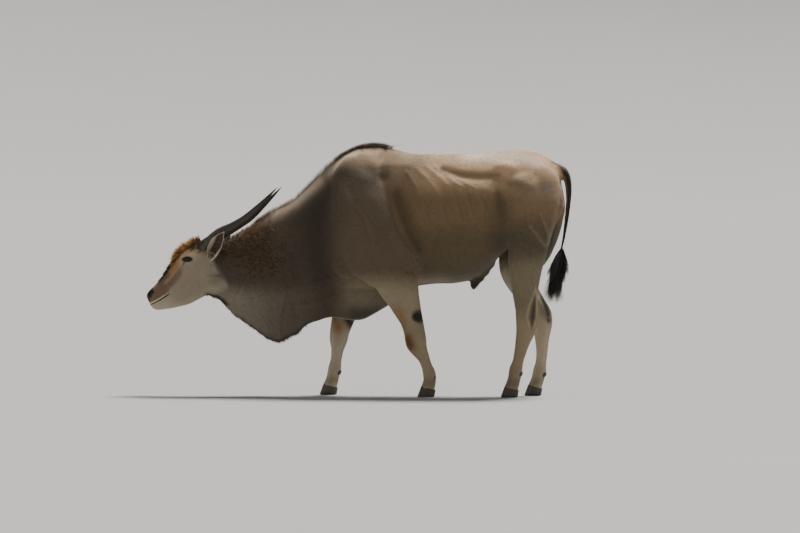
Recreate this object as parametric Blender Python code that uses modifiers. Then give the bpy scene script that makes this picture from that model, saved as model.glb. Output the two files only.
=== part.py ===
"""A bull common eland, life size, standing with its head lowered: a still model in separate solids.

Metres, +Z up. The animal faces -X, and its left side is the -Y side. The floor is at z = 0.
The flesh is built as overlapping lofts, fused into one skin, and parted with thin cuts.
"""

import math
import random

import bmesh
import bpy
import numpy as np
from mathutils import Matrix, Vector
from mathutils.bvhtree import BVHTree

# Driving dimensions
GAP = 0.0003
VOXEL = 0.008
RELAX_ROUNDS = 8
BLEND_ROUNDS = 70
BLEND_HEIGHTS = (0.75, 1.05)
BODY_TRIANGLES = 4300
HEAD_VOXEL = 0.005
HEAD_TRIANGLES = 1800
SEED = 11
RING_SIDES = 28
LIMB_SIDES = 20

# Upright sections of neck and trunk, from throat to rump:
# (along, back line, underline, half width, height of the widest place, fullness above, fullness below)
TRUNK = (
    (-1.270, 1.020, 0.700, 0.090, 0.870, 2.1, 2.1),
    (-1.160, 1.072, 0.655, 0.124, 0.870, 1.9, 2.0),
    (-1.050, 1.140, 0.615, 0.148, 0.885, 1.9, 1.9),
    (-0.920, 1.230, 0.600, 0.168, 0.920, 1.8, 1.8),
    (-0.780, 1.298, 0.590, 0.190, 0.950, 1.9, 1.8),
    (-0.660, 1.405, 0.590, 0.210, 0.980, 1.8, 1.6),
    (-0.540, 1.530, 0.620, 0.238, 1.000, 1.7, 1.5),
    (-0.430, 1.618, 0.650, 0.268, 1.030, 1.55, 1.5),
    (-0.320, 1.670, 0.650, 0.288, 1.050, 1.45, 1.45),
    (-0.200, 1.690, 0.660, 0.296, 1.070, 1.4, 1.45),
    (-0.080, 1.664, 0.670, 0.304, 1.080, 1.45, 1.6),
    (0.050, 1.630, 0.725, 0.322, 1.100, 1.7, 2.1),
    (0.200, 1.624, 0.750, 0.342, 1.110, 1.9, 2.1),
    (0.350, 1.626, 0.756, 0.346, 1.110, 2.0, 2.1),
    (0.500, 1.632, 0.800, 0.330, 1.130, 2.0, 2.0),
    (0.620, 1.642, 0.925, 0.296, 1.180, 1.9, 2.0),
    (0.730, 1.656, 1.010, 0.270, 1.240, 1.8, 2.0),
    (0.840, 1.644, 1.020, 0.248, 1.280, 1.8, 2.0),
    (0.920, 1.618, 1.060, 0.215, 1.300, 1.9, 2.0),
    (0.990, 1.576, 1.130, 0.165, 1.330, 2.0, 2.0),
    (1.040, 1.508, 1.240, 0.090, 1.370, 2.0, 2.0),
)

# The skin flap under throat, neck and brisket: (along, lower edge, half thickness at that edge)
DEWLAP = (
    (-1.345, 0.672, 0.012),
    (-1.300, 0.654, 0.014),
    (-1.246, 0.630, 0.015),
    (-1.172, 0.542, 0.016),
    (-1.064, 0.466, 0.017),
    (-0.990, 0.414, 0.018),
    (-0.936, 0.374, 0.019),
    (-0.858, 0.352, 0.020),
    (-0.795, 0.384, 0.021),
    (-0.727, 0.418, 0.023),
    (-0.665, 0.474, 0.026),
    (-0.586, 0.500, 0.032),
    (-0.505, 0.522, 0.040),
    (-0.404, 0.505, 0.048),
    (-0.316, 0.503, 0.052),
    (-0.253, 0.524, 0.056),
    (-0.162, 0.576, 0.060),
    (-0.060, 0.640, 0.060),
)
DEWLAP_TOP = 0.80
DEWLAP_ROOT = 0.100

# The head's own axis, from the back of the skull to the lips, in the plane of symmetry
HEAD_BACK = Vector((-1.170, 0.0, 0.900))
HEAD_SLOPE = math.radians(27.3)
# Sections across that axis: (along, top, bottom, half width, height of the widest place, fullness above, below)
HEAD = (
    (-0.040, 0.120, -0.085, 0.066, 0.030, 2.2, 2.2),
    (0.030, 0.160, -0.115, 0.090, 0.040, 2.2, 2.0),
    (0.100, 0.200, -0.125, 0.100, 0.050, 2.3, 1.9),
    (0.170, 0.222, -0.128, 0.106, 0.070, 2.4, 1.7),
    (0.230, 0.226, -0.126, 0.106, 0.090, 2.5, 1.6),
    (0.290, 0.212, -0.124, 0.098, 0.080, 2.4, 1.6),
    (0.345, 0.188, -0.124, 0.083, 0.040, 2.2, 1.7),
    (0.400, 0.160, -0.122, 0.071, 0.010, 2.1, 1.9),
    (0.460, 0.131, -0.108, 0.062, -0.005, 2.1, 2.0),
    (0.520, 0.108, -0.092, 0.057, 0.000, 2.2, 2.1),
    (0.570, 0.094, -0.074, 0.056, 0.012, 2.4, 2.2),
    (0.608, 0.081, -0.059, 0.049, 0.014, 2.4, 2.2),
    (0.630, 0.060, -0.036, 0.034, 0.012, 2.2, 2.0),
)

# Limbs, from inside the trunk down to the pastern: (along, height, off the middle, half depth, half width)
LEFT_FORE = (
    (-0.285, 1.570, 0.050, 0.110, 0.040),
    (-0.320, 1.490, 0.112, 0.155, 0.050),
    (-0.315, 1.400, 0.160, 0.172, 0.056),
    (-0.290, 1.270, 0.205, 0.195, 0.072),
    (-0.265, 1.160, 0.225, 0.215, 0.082),
    (-0.220, 1.060, 0.232, 0.235, 0.088),
    (-0.170, 0.980, 0.228, 0.232, 0.090),
    (-0.090, 0.870, 0.212, 0.195, 0.090),
    (-0.048, 0.800, 0.200, 0.165, 0.088),
    (-0.028, 0.735, 0.188, 0.142, 0.082),
    (0.004, 0.650, 0.178, 0.112, 0.074),
    (0.026, 0.590, 0.174, 0.099, 0.067),
    (0.054, 0.512, 0.168, 0.080, 0.058),
    (0.074, 0.433, 0.164, 0.073, 0.053),
    (0.086, 0.360, 0.160, 0.072, 0.054),
    (0.108, 0.310, 0.157, 0.056, 0.046),
    (0.134, 0.262, 0.154, 0.041, 0.034),
    (0.153, 0.212, 0.151, 0.037, 0.032),
    (0.172, 0.155, 0.149, 0.044, 0.042),
    (0.174, 0.104, 0.147, 0.043, 0.044),
    (0.160, 0.050, 0.146, 0.048, 0.046),
)
RIGHT_FORE = (
    (-0.295, 1.570, 0.050, 0.110, 0.040),
    (-0.330, 1.490, 0.112, 0.155, 0.050),
    (-0.330, 1.400, 0.160, 0.172, 0.056),
    (-0.325, 1.270, 0.205, 0.195, 0.072),
    (-0.320, 1.160, 0.225, 0.212, 0.082),
    (-0.320, 1.060, 0.232, 0.225, 0.088),
    (-0.325, 0.980, 0.228, 0.218, 0.090),
    (-0.342, 0.870, 0.212, 0.182, 0.090),
    (-0.370, 0.760, 0.192, 0.144, 0.084),
    (-0.402, 0.650, 0.178, 0.112, 0.074),
    (-0.428, 0.565, 0.172, 0.092, 0.065),
    (-0.448, 0.495, 0.168, 0.078, 0.058),
    (-0.466, 0.425, 0.163, 0.068, 0.053),
    (-0.474, 0.360, 0.158, 0.060, 0.053),
    (-0.480, 0.305, 0.155, 0.044, 0.042),
    (-0.488, 0.240, 0.152, 0.038, 0.032),
    (-0.498, 0.178, 0.150, 0.044, 0.042),
    (-0.512, 0.112, 0.150, 0.042, 0.044),
    (-0.532, 0.050, 0.150, 0.048, 0.046),
)
LEFT_HIND = (
    (0.880, 1.530, 0.100, 0.080, 0.040),
    (0.895, 1.480, 0.118, 0.125, 0.058),
    (0.902, 1.420, 0.136, 0.152, 0.078),
    (0.885, 1.300, 0.168, 0.195, 0.106),
    (0.860, 1.160, 0.182, 0.158, 0.118),
    (0.845, 1.050, 0.184, 0.142, 0.112),
    (0.828, 0.950, 0.180, 0.131, 0.098),
    (0.819, 0.860, 0.174, 0.115, 0.084),
    (0.816, 0.757, 0.166, 0.097, 0.070),
    (0.818, 0.663, 0.160, 0.084, 0.058),
    (0.824, 0.580, 0.155, 0.078, 0.048),
    (0.827, 0.505, 0.152, 0.077, 0.046),
    (0.817, 0.440, 0.150, 0.066, 0.048),
    (0.799, 0.375, 0.148, 0.052, 0.043),
    (0.783, 0.308, 0.147, 0.042, 0.035),
    (0.767, 0.241, 0.145, 0.037, 0.033),
    (0.752, 0.185, 0.143, 0.045, 0.042),
    (0.740, 0.120, 0.142, 0.043, 0.043),
    (0.718, 0.050, 0.140, 0.047, 0.045),
)
RIGHT_HIND = (
    (0.875, 1.530, 0.100, 0.080, 0.040),
    (0.890, 1.480, 0.118, 0.122, 0.058),
    (0.897, 1.420, 0.136, 0.148, 0.078),
    (0.878, 1.300, 0.168, 0.188, 0.106),
    (0.860, 1.200, 0.180, 0.188, 0.116),
    (0.840, 1.100, 0.184, 0.180, 0.112),
    (0.802, 1.000, 0.182, 0.170, 0.104),
    (0.752, 0.900, 0.176, 0.152, 0.090),
    (0.748, 0.820, 0.172, 0.126, 0.080),
    (0.772, 0.745, 0.168, 0.100, 0.070),
    (0.812, 0.675, 0.163, 0.084, 0.058),
    (0.862, 0.605, 0.158, 0.074, 0.050),
    (0.898, 0.545, 0.154, 0.072, 0.046),
    (0.906, 0.480, 0.151, 0.068, 0.047),
    (0.903, 0.415, 0.149, 0.057, 0.043),
    (0.903, 0.350, 0.147, 0.045, 0.036),
    (0.902, 0.285, 0.145, 0.039, 0.033),
    (0.896, 0.222, 0.143, 0.037, 0.033),
    (0.888, 0.170, 0.142, 0.045, 0.042),
    (0.874, 0.110, 0.141, 0.043, 0.043),
    (0.852, 0.050, 0.140, 0.047, 0.045),
)


# The tail hangs behind the rump: (along, height, off the middle, half depth, half width)
TAIL = (
    (0.970, 1.528, 0.0, 0.045, 0.050),
    (1.035, 1.524, 0.0, 0.036, 0.042),
    (1.078, 1.470, 0.0, 0.030, 0.034),
    (1.093, 1.390, 0.0, 0.023, 0.026),
    (1.092, 1.300, 0.0, 0.019, 0.021),
    (1.080, 1.200, 0.0, 0.017, 0.018),
    (1.062, 1.090, 0.0, 0.015, 0.016),
    (1.043, 0.985, 0.0, 0.015, 0.015),
    (1.030, 0.930, 0.0, 0.017, 0.017),
)
TAIL_CUT_HEIGHT = 0.985
# The tuft's core; its locks reach on to the tips
TUFT_CORE = (
    (1.052, 1.020, 0.0, 0.012, 0.012),
    (1.042, 0.975, 0.0, 0.018, 0.018),
    (1.032, 0.925, 0.0, 0.028, 0.026),
    (1.020, 0.870, 0.0, 0.034, 0.030),
    (1.012, 0.800, 0.0, 0.026, 0.024),
    (1.006, 0.740, 0.0, 0.008, 0.008),
)

# Muscles and bones that show: (along, off the middle, height, radii, turn about the side axis in degrees)
MASSES = (
    (0.700, 0.150, 1.525, (0.095, 0.065, 0.050), 10),
    (0.800, 0.170, 1.260, (0.185, 0.110, 0.250), 0),
    (0.985, 0.085, 1.430, (0.055, 0.050, 0.090), -15),
    (-0.360, 0.180, 0.920, (0.130, 0.080, 0.130), 0),
)
SHEATH = ((0.560, 0.900, 0.040), (0.520, 0.855, 0.044), (0.490, 0.810, 0.036), (0.468, 0.768, 0.026), (0.459, 0.740, 0.019))

# Horns, ears and eyes, all in the head's own frame: (along the head, off the middle, above the axis)
HORN_ROOT = Vector((0.165, 0.046, 0.180))
HORN_TIP = Vector((-0.506, 0.128, 0.297))
HORN_SAG = 0.036
HORN_RADIUS = 0.034
HORN_TURNS = 1.4
HORN_RINGS = 22
HORN_SIDES = 10
KEEL_HEIGHT = 0.013
EAR_ROOT = Vector((0.126, 0.086, 0.074))
EAR_TIP = Vector((-0.047, 0.185, 0.192))
EAR_WIDTH = 0.050
EAR_THICK = 0.005
EAR_HOLLOW = 0.016
EAR_WIDEST = 0.54
EAR_ROWS = 10
EAR_COLUMNS = 8
EYE_AT = Vector((0.258, 0.084, 0.148))
EYE_RADIUS = 0.022

# Hooves: two claws to a foot
SOLE_LENGTH = 0.112
CLAW_WIDTH = 0.043
CLEFT = 0.008
TOE_HEIGHT = 0.074
HEEL_HEIGHT = 0.046


# Relief on both flanks: (points as (along, height), reach, rise)
RELIEF = (
    (((-0.530, 1.38), (-0.540, 1.15), (-0.500, 0.96)), 0.060, -0.008),
    (((-0.365, 1.35), (-0.350, 1.11), (-0.345, 0.96)), 0.030, 0.005),
    (((-0.147, 1.52), (-0.134, 1.47)), 0.040, -0.009),
    (((0.28, 1.535), (0.39, 1.515), (0.52, 1.50), (0.63, 1.505)), 0.034, -0.013),
    (((0.35, 1.455), (0.49, 1.435), (0.63, 1.400)), 0.032, 0.006),
    (((0.690, 1.495), (0.710, 1.474)), 0.036, 0.011),
    (((0.640, 1.36), (0.626, 1.21), (0.655, 1.02)), 0.050, -0.016),
    (((0.705, 1.42), (0.729, 1.21), (0.740, 1.02)), 0.036, 0.006),
    (((0.764, 1.099), (0.824, 1.072), (0.892, 1.045)), 0.035, -0.007),
    (((0.900, 1.48), (0.930, 1.38), (0.930, 1.24)), 0.034, -0.007),
    (((0.10, 1.48), (0.19, 1.36), (0.25, 1.16)), 0.019, 0.004),
    (((0.20, 1.48), (0.29, 1.36), (0.35, 1.18)), 0.019, 0.005),
    (((0.30, 1.47), (0.39, 1.36), (0.45, 1.20)), 0.019, 0.005),
    (((0.40, 1.43), (0.48, 1.34), (0.53, 1.24)), 0.019, 0.004),
)
# The block of shoulder and upper arm, seen from the side: it stands out from neck and ribs
SHOULDER_OUTLINE = (
    (-0.465, 1.450),
    (-0.410, 1.570),
    (-0.290, 1.620),
    (-0.180, 1.560),
    (-0.139, 1.447),
    (-0.095, 1.300),
    (-0.045, 1.180),
    (0.013, 1.072),
    (0.094, 0.958),
    (0.114, 0.900),
    (0.085, 0.850),
    (-0.050, 0.800),
    (-0.250, 0.780),
    (-0.360, 0.850),
    (-0.395, 0.925),
    (-0.442, 1.032),
    (-0.472, 1.180),
    (-0.475, 1.330),
)
SHOULDER_RISE = 0.013
SHOULDER_EDGE = 0.028
# Relief on the head, in its own frame: (points as (along, off the middle, above), reach, rise)
HEAD_RELIEF = (
    (((0.200, 0.100, 0.175), (0.235, 0.108, 0.190), (0.285, 0.100, 0.172)), 0.016, 0.010),
    (((0.228, 0.100, 0.138), (0.258, 0.100, 0.122), (0.300, 0.090, 0.135)), 0.010, 0.005),
    (((0.290, 0.085, 0.085), (0.370, 0.070, 0.050), (0.430, 0.062, 0.030)), 0.016, 0.005),
    (((0.380, 0.064, 0.090), (0.470, 0.058, 0.070)), 0.022, -0.007),
    (((0.170, 0.100, 0.000), (0.250, 0.090, -0.050), (0.340, 0.070, -0.080)), 0.030, 0.006),
    (((0.443, 0.055, 0.012), (0.500, 0.055, -0.008), (0.560, 0.050, -0.012), (0.612, 0.026, -0.002)), 0.006, -0.006),
    (((0.622, 0.0, -0.002), (0.612, 0.026, -0.002)), 0.006, -0.006),
    (((0.470, 0.055, 0.022), (0.560, 0.052, 0.010), (0.606, 0.030, 0.016)), 0.010, 0.005),
    (((0.480, 0.050, -0.030), (0.560, 0.046, -0.032), (0.600, 0.020, -0.026)), 0.012, 0.004),
    (((0.596, 0.038, 0.060), (0.606, 0.030, 0.048), (0.600, 0.040, 0.038)), 0.007, -0.011),
    (((0.580, 0.044, 0.078), (0.598, 0.044, 0.066)), 0.009, 0.005),
    (((0.560, 0.0, 0.100), (0.610, 0.0, 0.084)), 0.018, -0.004),
)

# Hair in locks: each form has its own seeded draw
LOCK_STATIONS = (0.0, 0.35, 0.70)
ROOT_DEPTH = 0.010
LOCK_THICKNESS = 0.0035
NEIGHBOUR_MARGIN = 0.006
MANE_COUNT = 32
RUFF_ROWS = 5
RUFF_COLUMNS = 8
FRINGE_COUNT = 13
TUFT_COUNT = 24
# How far the tuft's hair stands off the tail's line at the height where it ends
TUFT_ENDS = (0.60, 0.66, 0.72, 0.79, 0.85)
TUFT_REACH = (0.006, 0.030, 0.046, 0.062, 0.050)
FORELOCK_ROWS = 6
FORELOCK_COLUMNS = 5

# Finishes of the solids
COAT = (0.36, 0.27, 0.19)
DARK_HAIR = (0.045, 0.038, 0.034)
LEG_COAT = (0.42, 0.36, 0.30)
HORN = (0.10, 0.085, 0.070)
EYE = (0.012, 0.008, 0.006)
HOOF = (0.055, 0.048, 0.042)

# The cuts between the pieces of flesh
HEAD_CUT = Vector((-1.277, 0.0, 0.920))
HEAD_CUT_NORMAL = Vector((-0.968, 0.0, 0.2504)).normalized()
DEWLAP_CUT = (-0.930, 0.609, math.radians(-12.4))
NECK_CUT = (-0.540, 1.080, math.radians(7.0))
CHEST_CUT = 0.030
# Leg cuts rise outwards: (height at the inner end, at the outer end, length along the body)
FORE_CUT = (0.640, 0.850, 0.54)
HIND_CUT = (0.800, 0.960, 0.42)
LEG_CUT_SIDES = (0.068, 0.345)
LEGS = (
    ("left_foreleg", LEFT_FORE, -1),
    ("right_foreleg", RIGHT_FORE, 1),
    ("left_hind_leg", LEFT_HIND, -1),
    ("right_hind_leg", RIGHT_HIND, 1),
)


def smooth_rows(rows, steps):
    """Rows of numbers with more rows between them, on a Catmull-Rom curve through the given ones."""
    rows = np.array(rows, float)
    padded = np.vstack([2 * rows[0] - rows[1], rows, 2 * rows[-1] - rows[-2]])
    made = []
    for i in range(len(rows) - 1):
        a, b, c, d = padded[i : i + 4]
        for k in range(steps):
            t = k / steps
            made.append(
                b
                + 0.5 * t * (c - a)
                + t * t * (a - 2.5 * b + 2 * c - 0.5 * d)
                + t**3 * (1.5 * (b - c) + 0.5 * (d - a))
            )
    made.append(rows[-1])
    return np.array(made)


def oval(count, half_width, up, down, fullness_up=2.0, fullness_down=2.0):
    """(side, height) round an oval whose upper and lower halves may differ, from the top."""
    points = []
    for k in range(count):
        side, height = math.sin(2 * math.pi * k / count), math.cos(2 * math.pi * k / count)
        fullness = fullness_up if height > 0 else fullness_down
        reach = up if height > 0 else down
        points.append(
            (
                half_width * math.copysign(abs(side) ** (2 / fullness), side),
                reach * math.copysign(abs(height) ** (2 / fullness), height),
            )
        )
    return points


def group(name):
    """The collection of that name, made when it is first asked for."""
    found = bpy.data.collections.get(name)
    if found is None:
        found = bpy.data.collections.new(name)
        bpy.context.scene.collection.children.link(found)
    return found


def solids():
    return group("common_eland")


def cutters():
    return group("cutters")


def link(name, mesh, collection=None):
    obj = bpy.data.objects.new(name, mesh)
    (collection or solids()).objects.link(obj)
    return obj


def as_cutter(obj):
    obj.hide_render = True
    obj.display_type = "WIRE"
    return obj


def loft_mesh(name, rings, tip=None):
    """A closed mesh through rings of like count, flat at its ends or run out to a tip."""
    bm = bmesh.new()
    loops = [[bm.verts.new(p) for p in ring] for ring in rings]
    for one, two in zip(loops, loops[1:]):
        for k in range(len(one)):
            after = (k + 1) % len(one)
            bm.faces.new((one[k], one[after], two[after], two[k]))
    bm.faces.new(reversed(loops[0]))
    if tip is None:
        bm.faces.new(loops[-1])
    else:
        end = bm.verts.new(tip)
        for k, vert in enumerate(loops[-1]):
            bm.faces.new((vert, loops[-1][(k + 1) % len(loops[-1])], end))
    bmesh.ops.recalc_face_normals(bm, faces=bm.faces)
    mesh = bpy.data.meshes.new(name)
    bm.to_mesh(mesh)
    bm.free()
    return mesh


def tube_rings(rows, sides, side_sign=1.0):
    """Rings across a limb's path. A row is (along, height, off the middle, half depth, half width)."""
    rows = np.array(rows, float)
    middles = [Vector((r[0], side_sign * r[2], r[1])) for r in rows]
    rings = []
    for i, (middle, row) in enumerate(zip(middles, rows)):
        way = (middles[min(i + 1, len(rows) - 1)] - middles[max(i - 1, 0)]).normalized()
        fore = way.cross(Vector((0, 1, 0))).normalized()
        side = fore.cross(way).normalized()
        rings.append(
            [
                middle + fore * up + side * across
                for across, up in oval(sides, row[4], row[3], row[3])
            ]
        )
    return rings


def trunk_mesh():
    rings = []
    for along, top, low, half, wide_at, above, below in smooth_rows(TRUNK, 3):
        rings.append(
            [
                Vector((along, side, wide_at + height))
                for side, height in oval(RING_SIDES, half, top - wide_at, wide_at - low, above, below)
            ]
        )
    return loft_mesh("trunk", rings)


def dewlap_mesh():
    """A wedge in section: thick where it hangs from the neck and thin at its lower edge."""
    rings = []
    for along, low, edge in smooth_rows(DEWLAP, 2):
        right = []
        for share in (0.0, 0.04, 0.15, 0.3, 0.5, 0.75, 1.0):
            half = edge * math.sqrt(min(1.0, share / 0.04)) if share < 0.04 else edge
            half += (DEWLAP_ROOT - edge) * share**2
            right.append((half, low + (DEWLAP_TOP - low) * share))
        left = [(-side, height) for side, height in reversed(right[1:])]
        rings.append([Vector((along, side, height)) for side, height in right + left])
    return loft_mesh("dewlap", rings)


def head_matrix():
    """The head's own frame: x towards the lips, y to the animal's right, z to the brow."""
    along = Vector((-math.cos(HEAD_SLOPE), 0, -math.sin(HEAD_SLOPE)))
    brow = Vector((-math.sin(HEAD_SLOPE), 0, math.cos(HEAD_SLOPE)))
    side = Vector((0, 1, 0))
    frame = Matrix((along, side, brow)).transposed().to_4x4()
    return Matrix.Translation(HEAD_BACK) @ frame


def head_point(along, side, height):
    return head_matrix() @ Vector((along, side, height))


def head_mesh():
    rings = []
    for along, top, low, half, wide_at, above, below in smooth_rows(HEAD, 3):
        rings.append(
            [
                head_point(along, side, wide_at + height)
                for side, height in oval(RING_SIDES, half, top - wide_at, wide_at - low, above, below)
            ]
        )
    return loft_mesh("skull", rings)


def ball_mesh(name, centre, radii, turn=(0.0, 0.0, 0.0), segments=24):
    bm = bmesh.new()
    bmesh.ops.create_uvsphere(bm, u_segments=segments, v_segments=segments // 2, radius=1.0)
    spin = Matrix.Rotation(turn[2], 4, "Z") @ Matrix.Rotation(turn[1], 4, "Y") @ Matrix.Rotation(turn[0], 4, "X")
    bm.transform(Matrix.Translation(centre) @ spin @ Matrix.Diagonal((*radii, 1.0)))
    mesh = bpy.data.meshes.new(name)
    bm.to_mesh(mesh)
    bm.free()
    return mesh


def merge(name, meshes):
    """Several meshes in one, still as separate shells."""
    bm = bmesh.new()
    for mesh in meshes:
        bm.from_mesh(mesh)
        bpy.data.meshes.remove(mesh)
    joined = bpy.data.meshes.new(name)
    bm.to_mesh(joined)
    bm.free()
    return joined


def applied(obj):
    """The object with its modifiers made real."""
    depsgraph = bpy.context.evaluated_depsgraph_get()
    mesh = bpy.data.meshes.new_from_object(obj.evaluated_get(depsgraph))
    old = obj.data
    obj.modifiers.clear()
    obj.data = mesh
    bpy.data.meshes.remove(old)
    return obj


def fuse(name, meshes, voxel, rounds, blend=0, above=(0.0, 1.0)):
    """Overlapping closed shells made one smooth skin, blended further where it lies high."""
    obj = link(name, merge(name, meshes))
    remesh = obj.modifiers.new("one skin", "REMESH")
    remesh.mode = "VOXEL"
    remesh.voxel_size = voxel
    relax = obj.modifiers.new("relax", "SMOOTH")
    relax.factor = 0.5
    relax.iterations = rounds
    applied(obj)
    if blend:
        low, high = above
        high_skin = obj.vertex_groups.new(name="blend")
        for vert in obj.data.vertices:
            share = min(1.0, max(0.0, (vert.co.z - low) / (high - low)))
            if vert.co.x < HEAD_CUT.x or share == 0.0:
                continue
            high_skin.add([vert.index], share, "REPLACE")
        more = obj.modifiers.new("blend", "SMOOTH")
        more.factor = 0.5
        more.iterations = blend
        more.vertex_group = "blend"
        applied(obj)
        obj.vertex_groups.clear()
    return obj


def nearness(spots, points, reach):
    """How near each spot is to a line of points, from 1 on it down to 0 a few reaches away."""
    best = np.full(len(spots), np.inf)
    for start, end in zip(points, points[1:]):
        start, end = np.array(start), np.array(end)
        way = end - start
        share = np.clip((spots - start) @ way / (way @ way), 0.0, 1.0)
        best = np.minimum(best, np.linalg.norm(spots - start - share[:, None] * way, axis=1))
    return np.exp(-((best / reach) ** 2))


def spots_and_normals(mesh):
    spots = np.empty(len(mesh.vertices) * 3)
    mesh.vertices.foreach_get("co", spots)
    normals = np.array([normal.vector for normal in mesh.vertex_normals])
    return spots.reshape(-1, 3), normals


def stand_out(mesh, outline, height, edge):
    """Raises the flanks inside an outline that is seen from the side, with a soft step along it."""
    spots, normals = spots_and_normals(mesh)
    flat = spots[:, [0, 2]]
    closed = np.array((*outline, outline[0]))
    inside = np.zeros(len(flat), bool)
    far = np.full(len(flat), np.inf)
    for one, two in zip(closed, closed[1:]):
        way = two - one
        crosses = (one[1] > flat[:, 1]) != (two[1] > flat[:, 1])
        inside ^= crosses & (flat[:, 0] < one[0] + way[0] * (flat[:, 1] - one[1]) / (way[1] or 1e-9))
        share = np.clip((flat - one) @ way / (way @ way), 0.0, 1.0)
        far = np.minimum(far, np.linalg.norm(flat - one - share[:, None] * way, axis=1))
    step = smooth_step(np.where(inside, far, -far), -edge, edge) * smooth_step(spots[:, 2], 0.80, 0.98)
    step *= np.clip(np.abs(normals[:, 1]) * 1.6, 0, 1)
    mesh.vertices.foreach_set("co", (spots + normals * (height * step)[:, None]).ravel())
    mesh.update()


def smooth_step(values, low, high):
    share = np.clip((values - low) / (high - low), 0.0, 1.0)
    return share * share * (3 - 2 * share)


def press(mesh, strokes, frame=None):
    """Raises or sinks a surface along strokes. Those with two numbers a point are seen from the side."""
    spots, normals = spots_and_normals(mesh)
    local = spots if frame is None else (spots - np.array(frame.translation)) @ np.array(frame.to_3x3())
    move = np.zeros(len(spots))
    for points, reach, rise in strokes:
        if len(points[0]) == 2:
            move += rise * nearness(local[:, [0, 2]], points, reach) * np.clip(np.abs(normals[:, 1]) * 1.4, 0, 1)
            continue
        folded = local * np.array((1, 0, 1)) + np.abs(local) * np.array((0, 1, 0))
        move += rise * nearness(folded, points, reach)
    spots = spots + normals * move[:, None]
    mesh.vertices.foreach_set("co", spots.ravel())
    mesh.update()


def thin_out(obj, triangles):
    obj.data.calc_loop_triangles()
    thin = obj.modifiers.new("thin out", "DECIMATE")
    thin.ratio = triangles / len(obj.data.loop_triangles)
    thin.use_collapse_triangulate = True
    return applied(obj)


def keep_largest(mesh):
    """Only the largest closed surface stays."""
    bm = bmesh.new()
    bm.from_mesh(mesh)
    for shell in sorted(shells(bm), key=shell_volume)[:-1]:
        bmesh.ops.delete(bm, geom=list(shell), context="VERTS")
    bm.to_mesh(mesh)
    bm.free()


def shells(bm):
    """The vertices of each connected surface."""
    left = set(bm.verts)
    found = []
    while left:
        start = left.pop()
        shell, front = {start}, [start]
        while front:
            for edge in front.pop().link_edges:
                for vert in edge.verts:
                    if vert in left:
                        left.remove(vert)
                        shell.add(vert)
                        front.append(vert)
        found.append(shell)
    return found


def shell_volume(shell):
    faces = {face for vert in shell for face in vert.link_faces}
    return abs(
        sum(
            face.verts[0].co.dot(one.co.cross(two.co)) / 6
            for face in faces
            for one, two in zip(face.verts[1:], face.verts[2:])
        )
    )


def boolean(obj, operation, other, solver="EXACT"):
    cut = obj.modifiers.new(operation.lower(), "BOOLEAN")
    cut.operation = operation
    cut.solver = solver
    cut.object = other
    applied(obj)
    return obj


def drop(obj):
    mesh = obj.data
    bpy.data.objects.remove(obj)
    bpy.data.meshes.remove(mesh)


def box(name, matrix, size):
    bm = bmesh.new()
    bmesh.ops.create_cube(bm, size=1.0)
    bm.transform(matrix @ Matrix.Diagonal((*size, 1.0)))
    mesh = bpy.data.meshes.new(name)
    bm.to_mesh(mesh)
    bm.free()
    return as_cutter(link(name, mesh, cutters()))


def side_plane(along, height, slope):
    """A frame whose z axis is a cut's normal: it runs along the body, sloped in side view."""
    return Matrix.Translation((along, 0, height)) @ Matrix.Rotation(-slope, 4, "Y")


def part_off(obj, matrix, size, name, inside):
    """A thin flat cut through the object. The piece nearest to the point inside takes the new name."""
    slab = box("cut", matrix, (*size, GAP))
    boolean(obj, "DIFFERENCE", slab)
    drop(slab)
    bm = bmesh.new()
    bm.from_mesh(obj.data)
    big = sorted((shell for shell in shells(bm) if len(shell) > 3), key=shell_volume)[-2:]
    if len(big) < 2:
        raise ValueError(f"the cut for {name} does not go through")
    big.sort(key=lambda shell: min((vert.co - inside).length for vert in shell))
    keep, rest = ({vert.index for vert in shell} for shell in big)
    bm.free()
    new = link(name, obj.data.copy())
    only(new.data, keep)
    only(obj.data, rest)
    return new


def only(mesh, keep):
    bm = bmesh.new()
    bm.from_mesh(mesh)
    bm.verts.ensure_lookup_table()
    bmesh.ops.delete(bm, geom=[v for v in bm.verts if v.index not in keep], context="VERTS")
    bm.to_mesh(mesh)
    bm.free()


def grown(obj):
    """A copy of a piece, larger all round by the gap, to cut its neighbour clear of it."""
    copy = as_cutter(link("clearance", obj.data.copy(), cutters()))
    swell = copy.modifiers.new("swell", "DISPLACE")
    swell.mid_level = 0.0
    swell.strength = GAP
    return applied(copy)


def clear_of(obj, neighbour):
    cutter = grown(neighbour)
    boolean(obj, "DIFFERENCE", cutter)
    drop(cutter)
    keep_largest(obj.data)
    return obj


def body_meshes():
    pieces = [trunk_mesh(), dewlap_mesh()]
    pieces += [
        loft_mesh("limb", tube_rings(smooth_rows(rows, 2), LIMB_SIDES, side)) for _, rows, side in LEGS
    ]
    for along, off, height, radii, turn in MASSES:
        for side in (-1, 1):
            pieces.append(
                ball_mesh("mass", (along, side * off, height), radii, (0, math.radians(turn), 0))
            )
    pieces += [ball_mesh("sheath", (x, 0, z), (r, r, r * 1.3)) for x, z, r in SHEATH]
    return pieces


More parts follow.
